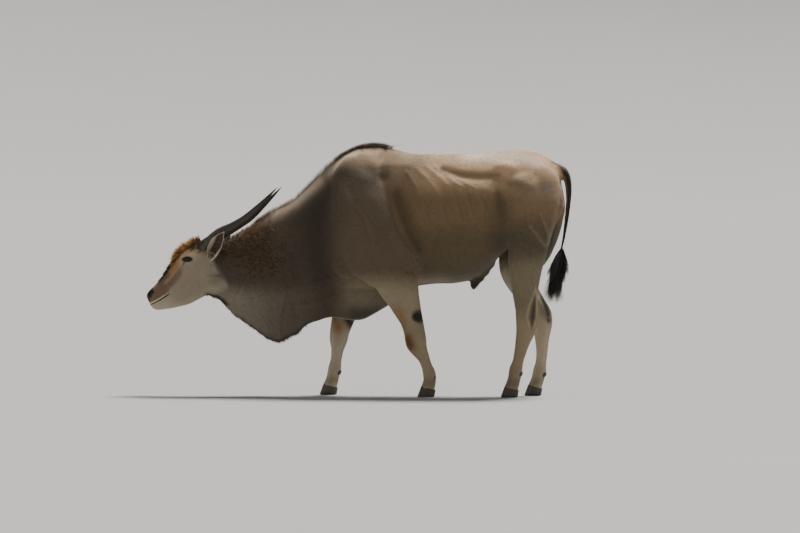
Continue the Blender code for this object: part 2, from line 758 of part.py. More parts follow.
def horn_mesh(side):
    """A tapering horn with a ridge that winds round it, fading towards the tip."""
    rings = []
    root, tip = (head_matrix() @ Vector((p.x, side * p.y, p.z)) for p in (HORN_ROOT, HORN_TIP))
    along = (tip - root).normalized()
    up = along.cross(Vector((0, side, 0))).normalized() * side
    across = along.cross(up)
    for k in range(HORN_RINGS + 1):
        t = k / HORN_RINGS
        bow = up * (HORN_SAG * math.sin(math.pi * t) * -1) + across * 0.012 * math.sin(math.pi * t)
        middle = root.lerp(tip, t) + bow
        radius = HORN_RADIUS * (1 - t**2.2) + 0.002
        keel_at = side * (2 * math.pi * HORN_TURNS * t**0.85) + math.pi
        fade = max(0.0, 1 - t / 0.72)
        ring = []
        for j in range(HORN_SIDES):
            angle = 2 * math.pi * j / HORN_SIDES
            near = (1 + math.cos(angle)) / 2
            reach = radius + KEEL_HEIGHT * fade * near**6
            spun = angle + keel_at
            ring.append(middle + (up * math.cos(spun) + across * math.sin(spun)) * reach)
        rings.append(ring)
    return loft_mesh("horn", rings)


def ear_mesh(side):
    """A leaf-shaped cup, open to the side, narrow at its root and pointed at its tip."""
    root, tip = (head_matrix() @ Vector((p.x, side * p.y, p.z)) for p in (EAR_ROOT, EAR_TIP))
    along = (tip - root).normalized()
    length = (tip - root).length
    outward = Vector((-0.30, side, -0.05))
    outward = (outward - along * outward.dot(along)).normalized()
    across = along.cross(outward)
    bm = bmesh.new()
    rows = []
    for k in range(EAR_ROWS + 1):
        t = k / EAR_ROWS
        if t < EAR_WIDEST:
            width = EAR_WIDTH * (0.36 + 0.64 * math.sin(math.pi / 2 * t / EAR_WIDEST))
        else:
            width = EAR_WIDTH * math.cos(math.pi / 2 * (t - EAR_WIDEST) / (1 - EAR_WIDEST)) + 0.002
        wrap = math.radians(150 - 85 * t)
        radius = width / math.sin(min(wrap, math.pi / 2))
        row = []
        for j in range(EAR_COLUMNS + 1):
            angle = wrap * (2 * j / EAR_COLUMNS - 1)
            point = root + along * (length * t) + across * radius * math.sin(angle)
            point += outward * (radius * (1 - math.cos(angle)) * 0.85 - EAR_HOLLOW)
            row.append(bm.verts.new(point))
        rows.append(row)
    for one, two in zip(rows, rows[1:]):
        for j in range(EAR_COLUMNS):
            bm.faces.new((one[j], one[j + 1], two[j + 1], two[j]))
    bmesh.ops.triangulate(bm, faces=bm.faces)
    mesh = bpy.data.meshes.new("ear")
    bm.to_mesh(mesh)
    bm.free()
    obj = link("ear", mesh)
    thick = obj.modifiers.new("thickness", "SOLIDIFY")
    thick.thickness = EAR_THICK
    thick.offset = 0.0
    applied(obj)
    mesh = obj.data.copy()
    drop(obj)
    return mesh


def claw_mesh(foot, forward, side):
    """One claw of a cloven hoof: a flat sole, a sloping front and a level join with the foot."""
    rings = []
    for level in (0.0, 0.35, 0.7, 1.0):
        ring = []
        for k in range(14):
            angle = 2 * math.pi * k / 14
            reach = SOLE_LENGTH / 2 * (1 - 0.18 * level)
            ahead = reach * math.cos(angle)
            narrow = 1 - 0.45 * max(0.0, math.cos(angle)) ** 1.5
            half = CLAW_WIDTH / 2 * (1 - 0.06 * level) * narrow
            out = CLEFT / 2 + CLAW_WIDTH / 2 + half * math.sin(angle) - (1 - narrow) * CLAW_WIDTH * 0.3
            top = HEEL_HEIGHT + (TOE_HEIGHT - HEEL_HEIGHT) * (ahead / reach + 1) / 2
            ring.append(
                Vector((foot.x + forward * (ahead + 0.012 - 0.018 * level), foot.y + side * out, top * level))
            )
        rings.append(ring)
    return loft_mesh("claw", rings)


def sliced(obj, point, normal):
    """The part of the object in front of a plane, closed with a flat face."""
    bm = bmesh.new()
    bm.from_mesh(obj.data)
    bmesh.ops.bisect_plane(
        bm,
        geom=bm.verts[:] + bm.edges[:] + bm.faces[:],
        dist=1e-6,
        plane_co=point,
        plane_no=normal,
        clear_inner=True,
    )
    rim = [edge for edge in bm.edges if edge.is_boundary]
    bmesh.ops.contextual_create(bm, geom=rim)
    bmesh.ops.triangulate(bm, faces=[face for face in bm.faces if len(face.verts) > 4])
    bm.to_mesh(obj.data)
    bm.free()
    keep_largest(obj.data)
    return obj


def paint(obj, colour, roughness):
    """The piece's own finish, shaded smooth but for the edges of flat cuts."""
    obj.data.shade_smooth()
    obj.data.set_sharp_from_angle(angle=math.radians(55))
    material = bpy.data.materials.new(obj.name)
    material.use_nodes = True
    finish = material.node_tree.nodes["Principled BSDF"]
    finish.inputs["Base Color"].default_value = (*colour, 1.0)
    finish.inputs["Roughness"].default_value = roughness
    finish.inputs["Metallic"].default_value = 0.0
    obj.data.materials.clear()
    obj.data.materials.append(material)


def body_pieces():
    """Neck, trunk, dewlap and legs, parted from one skin."""
    body = fuse("torso", body_meshes() + [head_mesh()], VOXEL, RELAX_ROUNDS, BLEND_ROUNDS, BLEND_HEIGHTS)
    stand_out(body.data, SHOULDER_OUTLINE, SHOULDER_RISE, SHOULDER_EDGE)
    press(body.data, RELIEF)
    thin_out(body, BODY_TRIANGLES)
    sliced(body, HEAD_CUT - HEAD_CUT_NORMAL * GAP / 2, -HEAD_CUT_NORMAL)
    pieces = {"torso": body}
    along, height, slope = DEWLAP_CUT
    pieces["dewlap"] = part_off(
        body, side_plane(along, height, slope), (0.92, 0.5), "dewlap", Vector((-0.8, 0, 0.4))
    )
    frame = Matrix.Translation((NECK_CUT[0], 0, NECK_CUT[1]))
    frame = frame @ Matrix.Rotation(math.radians(90) + NECK_CUT[2], 4, "Y")
    pieces["neck"] = part_off(body, frame, (1.3, 1.2), "neck", Vector((-1.2, 0, 0.9)))
    for name, rows, side in LEGS:
        low, high, reach = FORE_CUT if "fore" in name else HIND_CUT
        inner, outer = LEG_CUT_SIDES
        middle = (inner + outer) / 2
        lean = math.atan2(high - low, outer - inner)
        near = min(rows, key=lambda row: abs(row[1] - high))
        frame = Matrix.Translation((near[0], side * middle, (low + high) / 2))
        frame = frame @ Matrix.Rotation(side * lean, 4, "X")
        width = (outer - inner) / math.cos(lean)
        foot = Vector((rows[-1][0], side * rows[-1][2], 0.1))
        pieces[name] = part_off(body, frame, (reach, width), name, foot)
    frame = Matrix.Translation((CHEST_CUT, 0, 1.2)) @ Matrix.Rotation(math.radians(90), 4, "Y")
    pieces["chest"] = part_off(body, frame, (1.4, 1.2), "chest", Vector((-0.3, 0, 1.1)))
    return pieces


def foot_plane(rows, side):
    """Where a leg ends on its hoof: a plane that falls towards the heel."""
    along, off = rows[-1][0], rows[-1][2]
    slope = math.atan2(TOE_HEIGHT - HEEL_HEIGHT, SOLE_LENGTH)
    point = Vector((along, side * off, (TOE_HEIGHT + HEEL_HEIGHT) / 2))
    return point, Vector((math.sin(slope), 0, math.cos(slope)))


def lock_mesh(root, lie, away, length, width, lift, droop):
    """A flat tapered lock: it leaves the skin, then bends back along its lie. Its root is sunk in."""
    lie = (lie - away * lie.dot(away)).normalized()
    across = lie.cross(away).normalized()
    start = root - away * ROOT_DEPTH - lie * ROOT_DEPTH * 0.5
    rings = []
    for share in (*LOCK_STATIONS, 1.0):
        middle = start + lie * length * share + away * (lift * math.sin(math.pi / 2 * share) + ROOT_DEPTH * share)
        middle += Vector((0, 0, -droop * share**2))
        full = math.sin(math.pi * (0.30 + 0.70 * share)) if share < 1.0 else 0.06
        half, thick = width / 2 * full, LOCK_THICKNESS * (1 - 0.75 * share)
        rings.append([middle + across * half, middle + away * thick, middle - across * half, middle - away * thick])
    return loft_mesh("lock", rings[:-1], tip=sum(rings[-1], Vector()) / 4)


def clear_line(root, lie, away, length, lift, trees):
    """Whether a lock's line keeps its distance from the neighbouring pieces."""
    for share in (0.3, 0.65, 1.0):
        point = root + lie * length * share + away * lift * math.sin(math.pi / 2 * share)
        for tree in trees:
            near = tree.find_nearest(point)
            if near[3] < NEIGHBOUR_MARGIN + 0.5 * LOCK_THICKNESS:
                return False
    return True


def tree_of(obj):
    return BVHTree.FromPolygons([v.co for v in obj.data.vertices], [p.vertices for p in obj.data.polygons])


def add_locks(obj, locks, neighbours):
    """Fuses the locks into the piece with one union. A lock that would touch a neighbour is left out."""
    trees = [tree_of(other) for other in neighbours]
    bundle = group("locks")
    for root, lie, away, length, width, lift, droop in locks:
        lie = (lie - away * lie.dot(away)).normalized()
        if clear_line(root, lie, away, length, lift, trees):
            link("lock", lock_mesh(root, lie, away, length, width, lift, droop), bundle)
    union = obj.modifiers.new("locks", "BOOLEAN")
    union.operation = "UNION"
    union.operand_type = "COLLECTION"
    union.collection = bundle
    union.solver = "EXACT"
    applied(obj)
    for lock in list(bundle.objects):
        drop(lock)
    bpy.data.collections.remove(bundle)
    keep_largest(obj.data)


def mane_locks(neck, chest, draw):
    """The short mane along the crest, from the nape to the top of the hump."""
    trees = {"neck": tree_of(neck), "chest": tree_of(chest)}
    locks = {"neck": [], "chest": []}
    down = Vector((0, 0, -1))
    for k in range(MANE_COUNT):
        along = -1.04 + 1.02 * (k + draw.uniform(-0.3, 0.3)) / MANE_COUNT
        above = Vector((along, draw.uniform(-0.028, 0.028), 2.2))
        length = draw.uniform(0.045, 0.065)
        width = draw.uniform(0.016, 0.024)
        lie = Vector((1.0, draw.uniform(-0.35, 0.35), 0.0))
        hits = {name: tree.ray_cast(above, down) for name, tree in trees.items()}
        found = [name for name, hit in hits.items() if hit[0] is not None]
        if not found:
            continue
        piece = max(found, key=lambda name: hits[name][0].z)
        hit = hits[piece]
        behind = along - NECK_CUT[0] - math.tan(NECK_CUT[2]) * (hit[0].z - NECK_CUT[1])
        if behind < -length - 0.01 or behind > 0.03:
            locks[piece].append((hit[0], lie, hit[1], length, width, 0.026, 0.0))
    return locks


def ruff_locks(neck, draw):
    """Coarse curly hair behind the horns and ears, over the nape and down both sides."""
    tree = tree_of(neck)
    locks = []
    for row in range(RUFF_ROWS):
        for column in range(RUFF_COLUMNS):
            along = -1.225 + 0.30 * (row + draw.uniform(0.1, 0.9)) / RUFF_ROWS
            angle = math.radians(108) * (2 * (column + draw.uniform(0.2, 0.8)) / RUFF_COLUMNS - 1)
            outward = Vector((0, math.sin(angle), math.cos(angle)))
            middle = Vector((along, 0, 0.93 + 0.25 * (along + 1.225)))
            hit = tree.ray_cast(middle + outward, -outward)
            if hit[0] is None:
                continue
            lie = Vector((0.8, 0.5 * math.sin(angle), -0.45)) + Vector([draw.uniform(-0.3, 0.3) for _ in range(3)])
            size = draw.uniform(0.85, 1.2)
            locks.append((hit[0], lie, hit[1], 0.066 * size, 0.040 * size, 0.014 * size, 0.004))
    return locks


def forelock_locks(head, draw):
    """The brush on the forehead: locks that stand up and lean towards the nose."""
    tree = tree_of(head)
    frame = head_matrix()
    turn = frame.to_3x3()
    locks = []
    for row in range(FORELOCK_ROWS):
        for column in range(FORELOCK_COLUMNS):
            t = (row + draw.uniform(0.2, 0.8)) / FORELOCK_ROWS
            off = (2 * (column + draw.uniform(0.2, 0.8)) / FORELOCK_COLUMNS - 1) * (0.062 - 0.026 * t)
            above = frame @ Vector((0.165 + 0.205 * t, off, 0.40))
            hit = tree.ray_cast(above, turn @ Vector((0, 0, -1)))
            if hit[0] is None:
                continue
            lie = turn @ Vector((0.75, off * 5, 0.10)) + Vector([draw.uniform(-0.22, 0.22) for _ in range(3)])
            length = 0.060 * (1 - 0.35 * t) * draw.uniform(0.85, 1.15)
            lift = 0.046 * (1 - 0.55 * t) * draw.uniform(0.8, 1.15)
            locks.append((hit[0], lie, hit[1], length, 0.026 * draw.uniform(0.85, 1.15), lift, 0.0))
    return locks


def fringe_locks(dewlap, draw):
    """Dark tufts hanging from the lower edge of the dewlap."""
    tree = tree_of(dewlap)
    locks = []
    for k in range(FRINGE_COUNT):
        along = -1.315 + 0.60 * (k + draw.uniform(0.2, 0.8)) / FRINGE_COUNT
        hit = tree.ray_cast(Vector((along, draw.uniform(-0.004, 0.004), 0.2)), Vector((0, 0, 1)))
        if hit[0] is None:
            continue
        lie = Vector((0.75, draw.uniform(-0.15, 0.15), -0.6))
        locks.append((hit[0], lie, hit[1], draw.uniform(0.032, 0.046), 0.024, 0.010, 0.004))
    return locks


def tuft_locks(core, draw):
    """Long black hair that hides the end of the tail: it stands off widest halfway down."""
    tree = tree_of(core)
    locks = []
    for k in range(TUFT_COUNT):
        t = (k + draw.uniform(0.0, 1.0)) / TUFT_COUNT
        height = 0.955 - 0.20 * t
        angle = 2.4 * k + draw.uniform(-0.3, 0.3)
        outward = Vector((math.cos(angle), math.sin(angle), 0))
        middle = Vector((1.034 - 0.13 * (0.955 - height), 0, height))
        hit = tree.ray_cast(middle + outward * 0.2, -outward)
        if hit[0] is None:
            continue
        end = min(0.61 + 0.24 * draw.uniform(0.0, 1.0), height - 0.09)
        lift = float(np.interp(end, TUFT_ENDS, TUFT_REACH)) * draw.uniform(0.45, 1.0)
        lie = Vector((-0.15, 0.0, -1.0))
        locks.append((hit[0], lie, hit[1], height - end, draw.uniform(0.026, 0.034), lift, 0.0))
    return locks


def settle(pieces):
    """Everything moved level so that the middle of the whole outline is the origin."""
    corners = [piece.data.vertices for piece in pieces]
    spots = np.array([vert.co for verts in corners for vert in verts])
    middle = (spots.min(axis=0) + spots.max(axis=0)) / 2
    for piece in pieces:
        piece.data.transform(Matrix.Translation((-middle[0], -middle[1], 0.0)))


def add_hair(pieces):
    """Every form of hair, fused into the piece that it grows from."""
    draw = random.Random(SEED)
    horns_and_ears = [pieces[f"{side}_{part}"] for side in ("left", "right") for part in ("horn", "ear")]
    eyes = [pieces["left_eye"], pieces["right_eye"]]
    mane = mane_locks(pieces["neck"], pieces["chest"], draw)
    add_locks(pieces["chest"], mane["chest"], [pieces["neck"], pieces["torso"]])
    ruff = ruff_locks(pieces["neck"], draw)
    add_locks(pieces["neck"], mane["neck"] + ruff, horns_and_ears + [pieces["head"], pieces["chest"]])
    forelock = forelock_locks(pieces["head"], draw)
    add_locks(pieces["head"], forelock, horns_and_ears + eyes + [pieces["neck"]])
    add_locks(pieces["dewlap"], fringe_locks(pieces["dewlap"], draw), [pieces["head"], pieces["neck"]])
    add_locks(pieces["tail_tuft"], tuft_locks(pieces["tail_tuft"], draw), [pieces["tail"]])


def main():
    for old in list(bpy.data.objects):
        bpy.data.objects.remove(old)
    pieces = body_pieces()
    head = fuse("head", [head_mesh(), trunk_mesh(), dewlap_mesh()], HEAD_VOXEL, 8)
    sliced(head, HEAD_CUT - HEAD_CUT_NORMAL * 0.05, HEAD_CUT_NORMAL)
    press(head.data, HEAD_RELIEF, head_matrix())
    thin_out(head, HEAD_TRIANGLES)
    sliced(head, HEAD_CUT + HEAD_CUT_NORMAL * GAP / 2, HEAD_CUT_NORMAL)
    pieces["head"] = head
    add_tail(pieces)
    for name, side in (("left", -1), ("right", 1)):
        add_face_parts(pieces, name, side)
    for leg, rows, side in LEGS:
        add_claws(pieces, leg, rows, side)
    add_hair(pieces)
    settle(pieces.values())
    for name, piece in pieces.items():
        piece.name = name
        paint(piece, *finish_of(name))


def add_tail(pieces):
    tail = link("tail", loft_mesh("tail", tube_rings(smooth_rows(TAIL, 2), 12)))
    clear_of(tail, pieces["torso"])
    up = Vector((0, 0, 1))
    pieces["tail"] = sliced(tail, up * (TAIL_CUT_HEIGHT + GAP / 2), up)
    tuft = link("tail_tuft", loft_mesh("tail_tuft", tube_rings(smooth_rows(TUFT_CORE, 2), 10)))
    pieces["tail_tuft"] = sliced(tuft, up * (TAIL_CUT_HEIGHT - GAP / 2), -up)


def add_face_parts(pieces, name, side):
    head = pieces["head"]
    horn = link(f"{name}_horn", horn_mesh(side))
    pieces[horn.name] = clear_of(horn, head)
    ear = link(f"{name}_ear", ear_mesh(side))
    pieces[ear.name] = clear_of(clear_of(ear, head), horn)
    centre = head_matrix() @ Vector((EYE_AT.x, side * EYE_AT.y, EYE_AT.z))
    socket = link("socket", ball_mesh("socket", centre, (EYE_RADIUS + GAP,) * 3, segments=16), cutters())
    as_cutter(socket)
    boolean(head, "DIFFERENCE", socket)
    drop(socket)
    keep_largest(head.data)
    eye = link(f"{name}_eye", ball_mesh(f"{name}_eye", centre, (EYE_RADIUS,) * 3, segments=16))
    pieces[eye.name] = eye


def add_claws(pieces, leg, rows, side):
    """Two claws under a leg, both cut with it by one plane that falls towards the heel."""
    point, normal = foot_plane(rows, side)
    sliced(pieces[leg], point, normal)
    foot = Vector((rows[-1][0], side * rows[-1][2], 0))
    for claw_name, claw_side in (("left", -1), ("right", 1)):
        name = f"{leg}_{claw_name}_claw"
        claw = link(name, claw_mesh(foot, -1, claw_side))
        pieces[name] = sliced(claw, point - normal * GAP, -normal)


def finish_of(name):
    """Colour and roughness of a piece."""
    if "claw" in name:
        return HOOF, 0.5
    if "horn" in name:
        return HORN, 0.55
    if "eye" in name:
        return EYE, 0.08
    if "tuft" in name:
        return DARK_HAIR, 0.7
    if "leg" in name:
        return LEG_COAT, 0.85
    return COAT, 0.85


main()
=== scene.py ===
"""A bull common eland with its skin, eyes, horns, ears, hooves and coat, on a pale floor in soft light.

The flesh is lofted as clay on the same sizes as the solids, in the animal's own frame, where it
faces -X and its left side is -Y. Each finished piece is then moved to where the solids stand.
"""

import math

import bmesh
import bpy
import numpy as np
from mathutils import Matrix, Vector, noise
from mathutils.bvhtree import BVHTree


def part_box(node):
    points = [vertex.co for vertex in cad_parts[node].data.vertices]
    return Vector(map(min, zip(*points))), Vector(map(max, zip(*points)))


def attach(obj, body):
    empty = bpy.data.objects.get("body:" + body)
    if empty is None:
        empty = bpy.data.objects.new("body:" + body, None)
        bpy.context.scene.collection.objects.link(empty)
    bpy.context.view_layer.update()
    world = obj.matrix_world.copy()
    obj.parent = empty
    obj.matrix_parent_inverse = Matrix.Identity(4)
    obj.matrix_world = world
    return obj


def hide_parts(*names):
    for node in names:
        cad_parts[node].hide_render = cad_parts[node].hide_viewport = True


bl_info = {
    "name": "Common eland bull",
    "version": (1, 0, 0),
    "blender": (4, 2, 0),
    "location": "View3D > Sidebar > Eland",
    "description": "Builds the skin, eyes, horns, hooves, coat and stage of a life-size eland bull",
    "category": "Object",
}

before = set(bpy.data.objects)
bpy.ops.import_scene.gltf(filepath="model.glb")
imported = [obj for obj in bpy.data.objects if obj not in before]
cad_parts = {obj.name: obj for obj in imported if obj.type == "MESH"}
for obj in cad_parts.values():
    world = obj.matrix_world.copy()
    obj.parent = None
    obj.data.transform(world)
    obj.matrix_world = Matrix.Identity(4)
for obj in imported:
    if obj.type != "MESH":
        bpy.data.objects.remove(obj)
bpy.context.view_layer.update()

# Where the animal's own frame stands: the low end of the left front outer claw is here in it
CLAW_LOW = 0.092
SETTLE = Vector((float(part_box("left_foreleg_left_claw")[0][0]) - CLAW_LOW, 0.0, 0.0))

BODY = "root"
FLESH = ("head", "neck", "chest", "torso", "dewlap", "tail")
LEG_NODES = ("left_foreleg", "right_foreleg", "left_hind_leg", "right_hind_leg")
CLAW_NODES = tuple(f"{leg}_{side}_claw" for leg in LEG_NODES for side in ("left", "right"))

# Upright sections of neck and trunk, from throat to rump:
# (along, back line, underline, half width, height of the widest place, fullness above, fullness below)
TRUNK = (
    (-1.270, 1.020, 0.700, 0.090, 0.870, 2.1, 2.1),
    (-1.160, 1.072, 0.655, 0.124, 0.870, 1.9, 2.0),
    (-1.050, 1.140, 0.615, 0.148, 0.885, 1.9, 1.9),
    (-0.920, 1.230, 0.600, 0.168, 0.920, 1.8, 1.8),
    (-0.780, 1.298, 0.590, 0.190, 0.950, 1.9, 1.8),
    (-0.660, 1.405, 0.590, 0.210, 0.980, 1.8, 1.6),
    (-0.540, 1.530, 0.620, 0.238, 1.000, 1.7, 1.5),
    (-0.430, 1.618, 0.650, 0.268, 1.030, 1.55, 1.5),
    (-0.320, 1.670, 0.650, 0.288, 1.050, 1.45, 1.45),
    (-0.200, 1.690, 0.660, 0.296, 1.070, 1.4, 1.45),
    (-0.080, 1.664, 0.670, 0.304, 1.080, 1.45, 1.6),
    (0.050, 1.630, 0.725, 0.322, 1.100, 1.7, 2.1),
    (0.200, 1.624, 0.750, 0.342, 1.110, 1.9, 2.1),
    (0.350, 1.626, 0.756, 0.346, 1.110, 2.0, 2.1),
    (0.500, 1.632, 0.800, 0.330, 1.130, 2.0, 2.0),
    (0.620, 1.642, 0.925, 0.296, 1.180, 1.9, 2.0),
    (0.730, 1.656, 1.010, 0.270, 1.240, 1.8, 2.0),
    (0.840, 1.644, 1.020, 0.248, 1.280, 1.8, 2.0),
    (0.920, 1.618, 1.060, 0.215, 1.300, 1.9, 2.0),
    (0.990, 1.576, 1.130, 0.165, 1.330, 2.0, 2.0),
    (1.040, 1.508, 1.240, 0.090, 1.370, 2.0, 2.0),
)

# The skin flap under throat, neck and brisket: (along, lower edge, half thickness at that edge)
DEWLAP = (
    (-1.345, 0.672, 0.012),
    (-1.300, 0.654, 0.014),
    (-1.246, 0.630, 0.015),
    (-1.172, 0.542, 0.016),
    (-1.064, 0.466, 0.017),
    (-0.990, 0.414, 0.018),
    (-0.936, 0.374, 0.019),
    (-0.858, 0.352, 0.020),
    (-0.795, 0.384, 0.021),
    (-0.727, 0.418, 0.023),
    (-0.665, 0.474, 0.026),
    (-0.586, 0.500, 0.032),
    (-0.505, 0.522, 0.040),
    (-0.404, 0.505, 0.048),
    (-0.316, 0.503, 0.052),
    (-0.253, 0.524, 0.056),
    (-0.162, 0.576, 0.060),
    (-0.060, 0.640, 0.060),
)
DEWLAP_TOP = 0.80
DEWLAP_ROOT = 0.100

# The head's own axis, from the back of the skull to the lips, in the plane of symmetry
HEAD_BACK = Vector((-1.170, 0.0, 0.900))
HEAD_SLOPE = math.radians(27.3)
# Sections across that axis:
# (along, top, bottom, half width, height of the widest place, fullness above, fullness below)
HEAD = (
    (-0.040, 0.120, -0.085, 0.066, 0.030, 2.2, 2.2),
    (0.030, 0.160, -0.115, 0.090, 0.040, 2.2, 2.0),
    (0.100, 0.200, -0.125, 0.100, 0.050, 2.3, 1.9),
    (0.170, 0.222, -0.128, 0.106, 0.070, 2.4, 1.7),
    (0.230, 0.226, -0.126, 0.106, 0.090, 2.5, 1.6),
    (0.290, 0.212, -0.124, 0.098, 0.080, 2.4, 1.6),
    (0.345, 0.188, -0.124, 0.083, 0.040, 2.2, 1.7),
    (0.400, 0.160, -0.122, 0.071, 0.010, 2.1, 1.9),
    (0.460, 0.131, -0.108, 0.062, -0.005, 2.1, 2.0),
    (0.520, 0.108, -0.092, 0.057, 0.000, 2.2, 2.1),
    (0.570, 0.094, -0.074, 0.056, 0.012, 2.4, 2.2),
    (0.608, 0.081, -0.059, 0.049, 0.014, 2.4, 2.2),
    (0.630, 0.060, -0.036, 0.034, 0.012, 2.2, 2.0),
)

# Limbs, from inside the trunk down to the pastern: (along, height, off the middle, half depth, half width)
LEFT_FORE = (
    (-0.285, 1.570, 0.050, 0.110, 0.040),
    (-0.320, 1.490, 0.112, 0.155, 0.050),
    (-0.315, 1.400, 0.160, 0.172, 0.056),
    (-0.290, 1.270, 0.205, 0.195, 0.072),
    (-0.265, 1.160, 0.225, 0.215, 0.082),
    (-0.220, 1.060, 0.232, 0.235, 0.088),
    (-0.170, 0.980, 0.228, 0.232, 0.090),
    (-0.090, 0.870, 0.212, 0.195, 0.090),
    (-0.048, 0.800, 0.200, 0.165, 0.088),
    (-0.028, 0.735, 0.188, 0.142, 0.082),
    (0.004, 0.650, 0.178, 0.112, 0.074),
    (0.026, 0.590, 0.174, 0.099, 0.067),
    (0.054, 0.512, 0.168, 0.080, 0.058),
    (0.074, 0.433, 0.164, 0.073, 0.053),
    (0.086, 0.360, 0.160, 0.072, 0.054),
    (0.108, 0.310, 0.157, 0.056, 0.046),
    (0.134, 0.262, 0.154, 0.041, 0.034),
    (0.153, 0.212, 0.151, 0.037, 0.032),
    (0.172, 0.155, 0.149, 0.044, 0.042),
    (0.174, 0.104, 0.147, 0.043, 0.044),
    (0.160, 0.050, 0.146, 0.048, 0.046),
)
RIGHT_FORE = (
    (-0.295, 1.570, 0.050, 0.110, 0.040),
    (-0.330, 1.490, 0.112, 0.155, 0.050),
    (-0.330, 1.400, 0.160, 0.172, 0.056),
    (-0.325, 1.270, 0.205, 0.195, 0.072),
    (-0.320, 1.160, 0.225, 0.212, 0.082),
    (-0.320, 1.060, 0.232, 0.225, 0.088),
    (-0.325, 0.980, 0.228, 0.218, 0.090),
    (-0.342, 0.870, 0.212, 0.182, 0.090),
    (-0.370, 0.760, 0.192, 0.144, 0.084),
    (-0.402, 0.650, 0.178, 0.112, 0.074),
    (-0.428, 0.565, 0.172, 0.092, 0.065),
    (-0.448, 0.495, 0.168, 0.078, 0.058),
    (-0.466, 0.425, 0.163, 0.068, 0.053),
    (-0.474, 0.360, 0.158, 0.060, 0.053),
    (-0.480, 0.305, 0.155, 0.044, 0.042),
    (-0.488, 0.240, 0.152, 0.038, 0.032),
    (-0.498, 0.178, 0.150, 0.044, 0.042),
    (-0.512, 0.112, 0.150, 0.042, 0.044),
    (-0.532, 0.050, 0.150, 0.048, 0.046),
)
LEFT_HIND = (
    (0.880, 1.530, 0.100, 0.080, 0.040),
    (0.895, 1.480, 0.118, 0.125, 0.058),
    (0.902, 1.420, 0.136, 0.152, 0.078),
    (0.885, 1.300, 0.168, 0.195, 0.106),
    (0.860, 1.160, 0.182, 0.158, 0.118),
    (0.845, 1.050, 0.184, 0.142, 0.112),
    (0.828, 0.950, 0.180, 0.131, 0.098),
    (0.819, 0.860, 0.174, 0.115, 0.084),
    (0.816, 0.757, 0.166, 0.097, 0.070),
    (0.818, 0.663, 0.160, 0.084, 0.058),
    (0.824, 0.580, 0.155, 0.078, 0.048),
    (0.827, 0.505, 0.152, 0.077, 0.046),
    (0.817, 0.440, 0.150, 0.066, 0.048),
    (0.799, 0.375, 0.148, 0.052, 0.043),
    (0.783, 0.308, 0.147, 0.042, 0.035),
    (0.767, 0.241, 0.145, 0.037, 0.033),
    (0.752, 0.185, 0.143, 0.045, 0.042),
    (0.740, 0.120, 0.142, 0.043, 0.043),
    (0.718, 0.050, 0.140, 0.047, 0.045),
)
RIGHT_HIND = (
    (0.875, 1.530, 0.100, 0.080, 0.040),
    (0.890, 1.480, 0.118, 0.122, 0.058),
    (0.897, 1.420, 0.136, 0.148, 0.078),
    (0.878, 1.300, 0.168, 0.188, 0.106),
    (0.860, 1.200, 0.180, 0.188, 0.116),
    (0.840, 1.100, 0.184, 0.180, 0.112),
    (0.802, 1.000, 0.182, 0.170, 0.104),
    (0.752, 0.900, 0.176, 0.152, 0.090),
    (0.748, 0.820, 0.172, 0.126, 0.080),
    (0.772, 0.745, 0.168, 0.100, 0.070),
    (0.812, 0.675, 0.163, 0.084, 0.058),
    (0.862, 0.605, 0.158, 0.074, 0.050),
    (0.898, 0.545, 0.154, 0.072, 0.046),
    (0.906, 0.480, 0.151, 0.068, 0.047),
    (0.903, 0.415, 0.149, 0.057, 0.043),
    (0.903, 0.350, 0.147, 0.045, 0.036),
    (0.902, 0.285, 0.145, 0.039, 0.033),
    (0.896, 0.222, 0.143, 0.037, 0.033),
    (0.888, 0.170, 0.142, 0.045, 0.042),
    (0.874, 0.110, 0.141, 0.043, 0.043),
    (0.852, 0.050, 0.140, 0.047, 0.045),
)


# The tail hangs behind the rump: (along, height, off the middle, half depth, half width)
TAIL = (
    (0.970, 1.528, 0.0, 0.045, 0.050),
    (1.035, 1.524, 0.0, 0.036, 0.042),
    (1.078, 1.470, 0.0, 0.030, 0.034),
    (1.093, 1.390, 0.0, 0.023, 0.026),
    (1.092, 1.300, 0.0, 0.019, 0.021),
    (1.080, 1.200, 0.0, 0.017, 0.018),
    (1.062, 1.090, 0.0, 0.015, 0.016),
    (1.043, 0.985, 0.0, 0.015, 0.015),
    (1.030, 0.930, 0.0, 0.017, 0.017),
)

# Muscles and bones that show: (along, off the middle, height, radii, turn about the side axis in degrees)
MASSES = (
    (0.700, 0.150, 1.525, (0.095, 0.065, 0.050), 10),
    (0.800, 0.170, 1.260, (0.185, 0.110, 0.250), 0),
    (0.985, 0.085, 1.430, (0.055, 0.050, 0.090), -15),
    (-0.360, 0.180, 0.920, (0.130, 0.080, 0.130), 0),
)
SHEATH = (
    (0.566, 0.900, 0.040),
    (0.526, 0.855, 0.045),
    (0.494, 0.812, 0.041),
    (0.468, 0.775, 0.034),
    (0.456, 0.750, 0.027),
)

LEGS = ((LEFT_FORE, -1), (RIGHT_FORE, 1), (LEFT_HIND, -1), (RIGHT_HIND, 1))

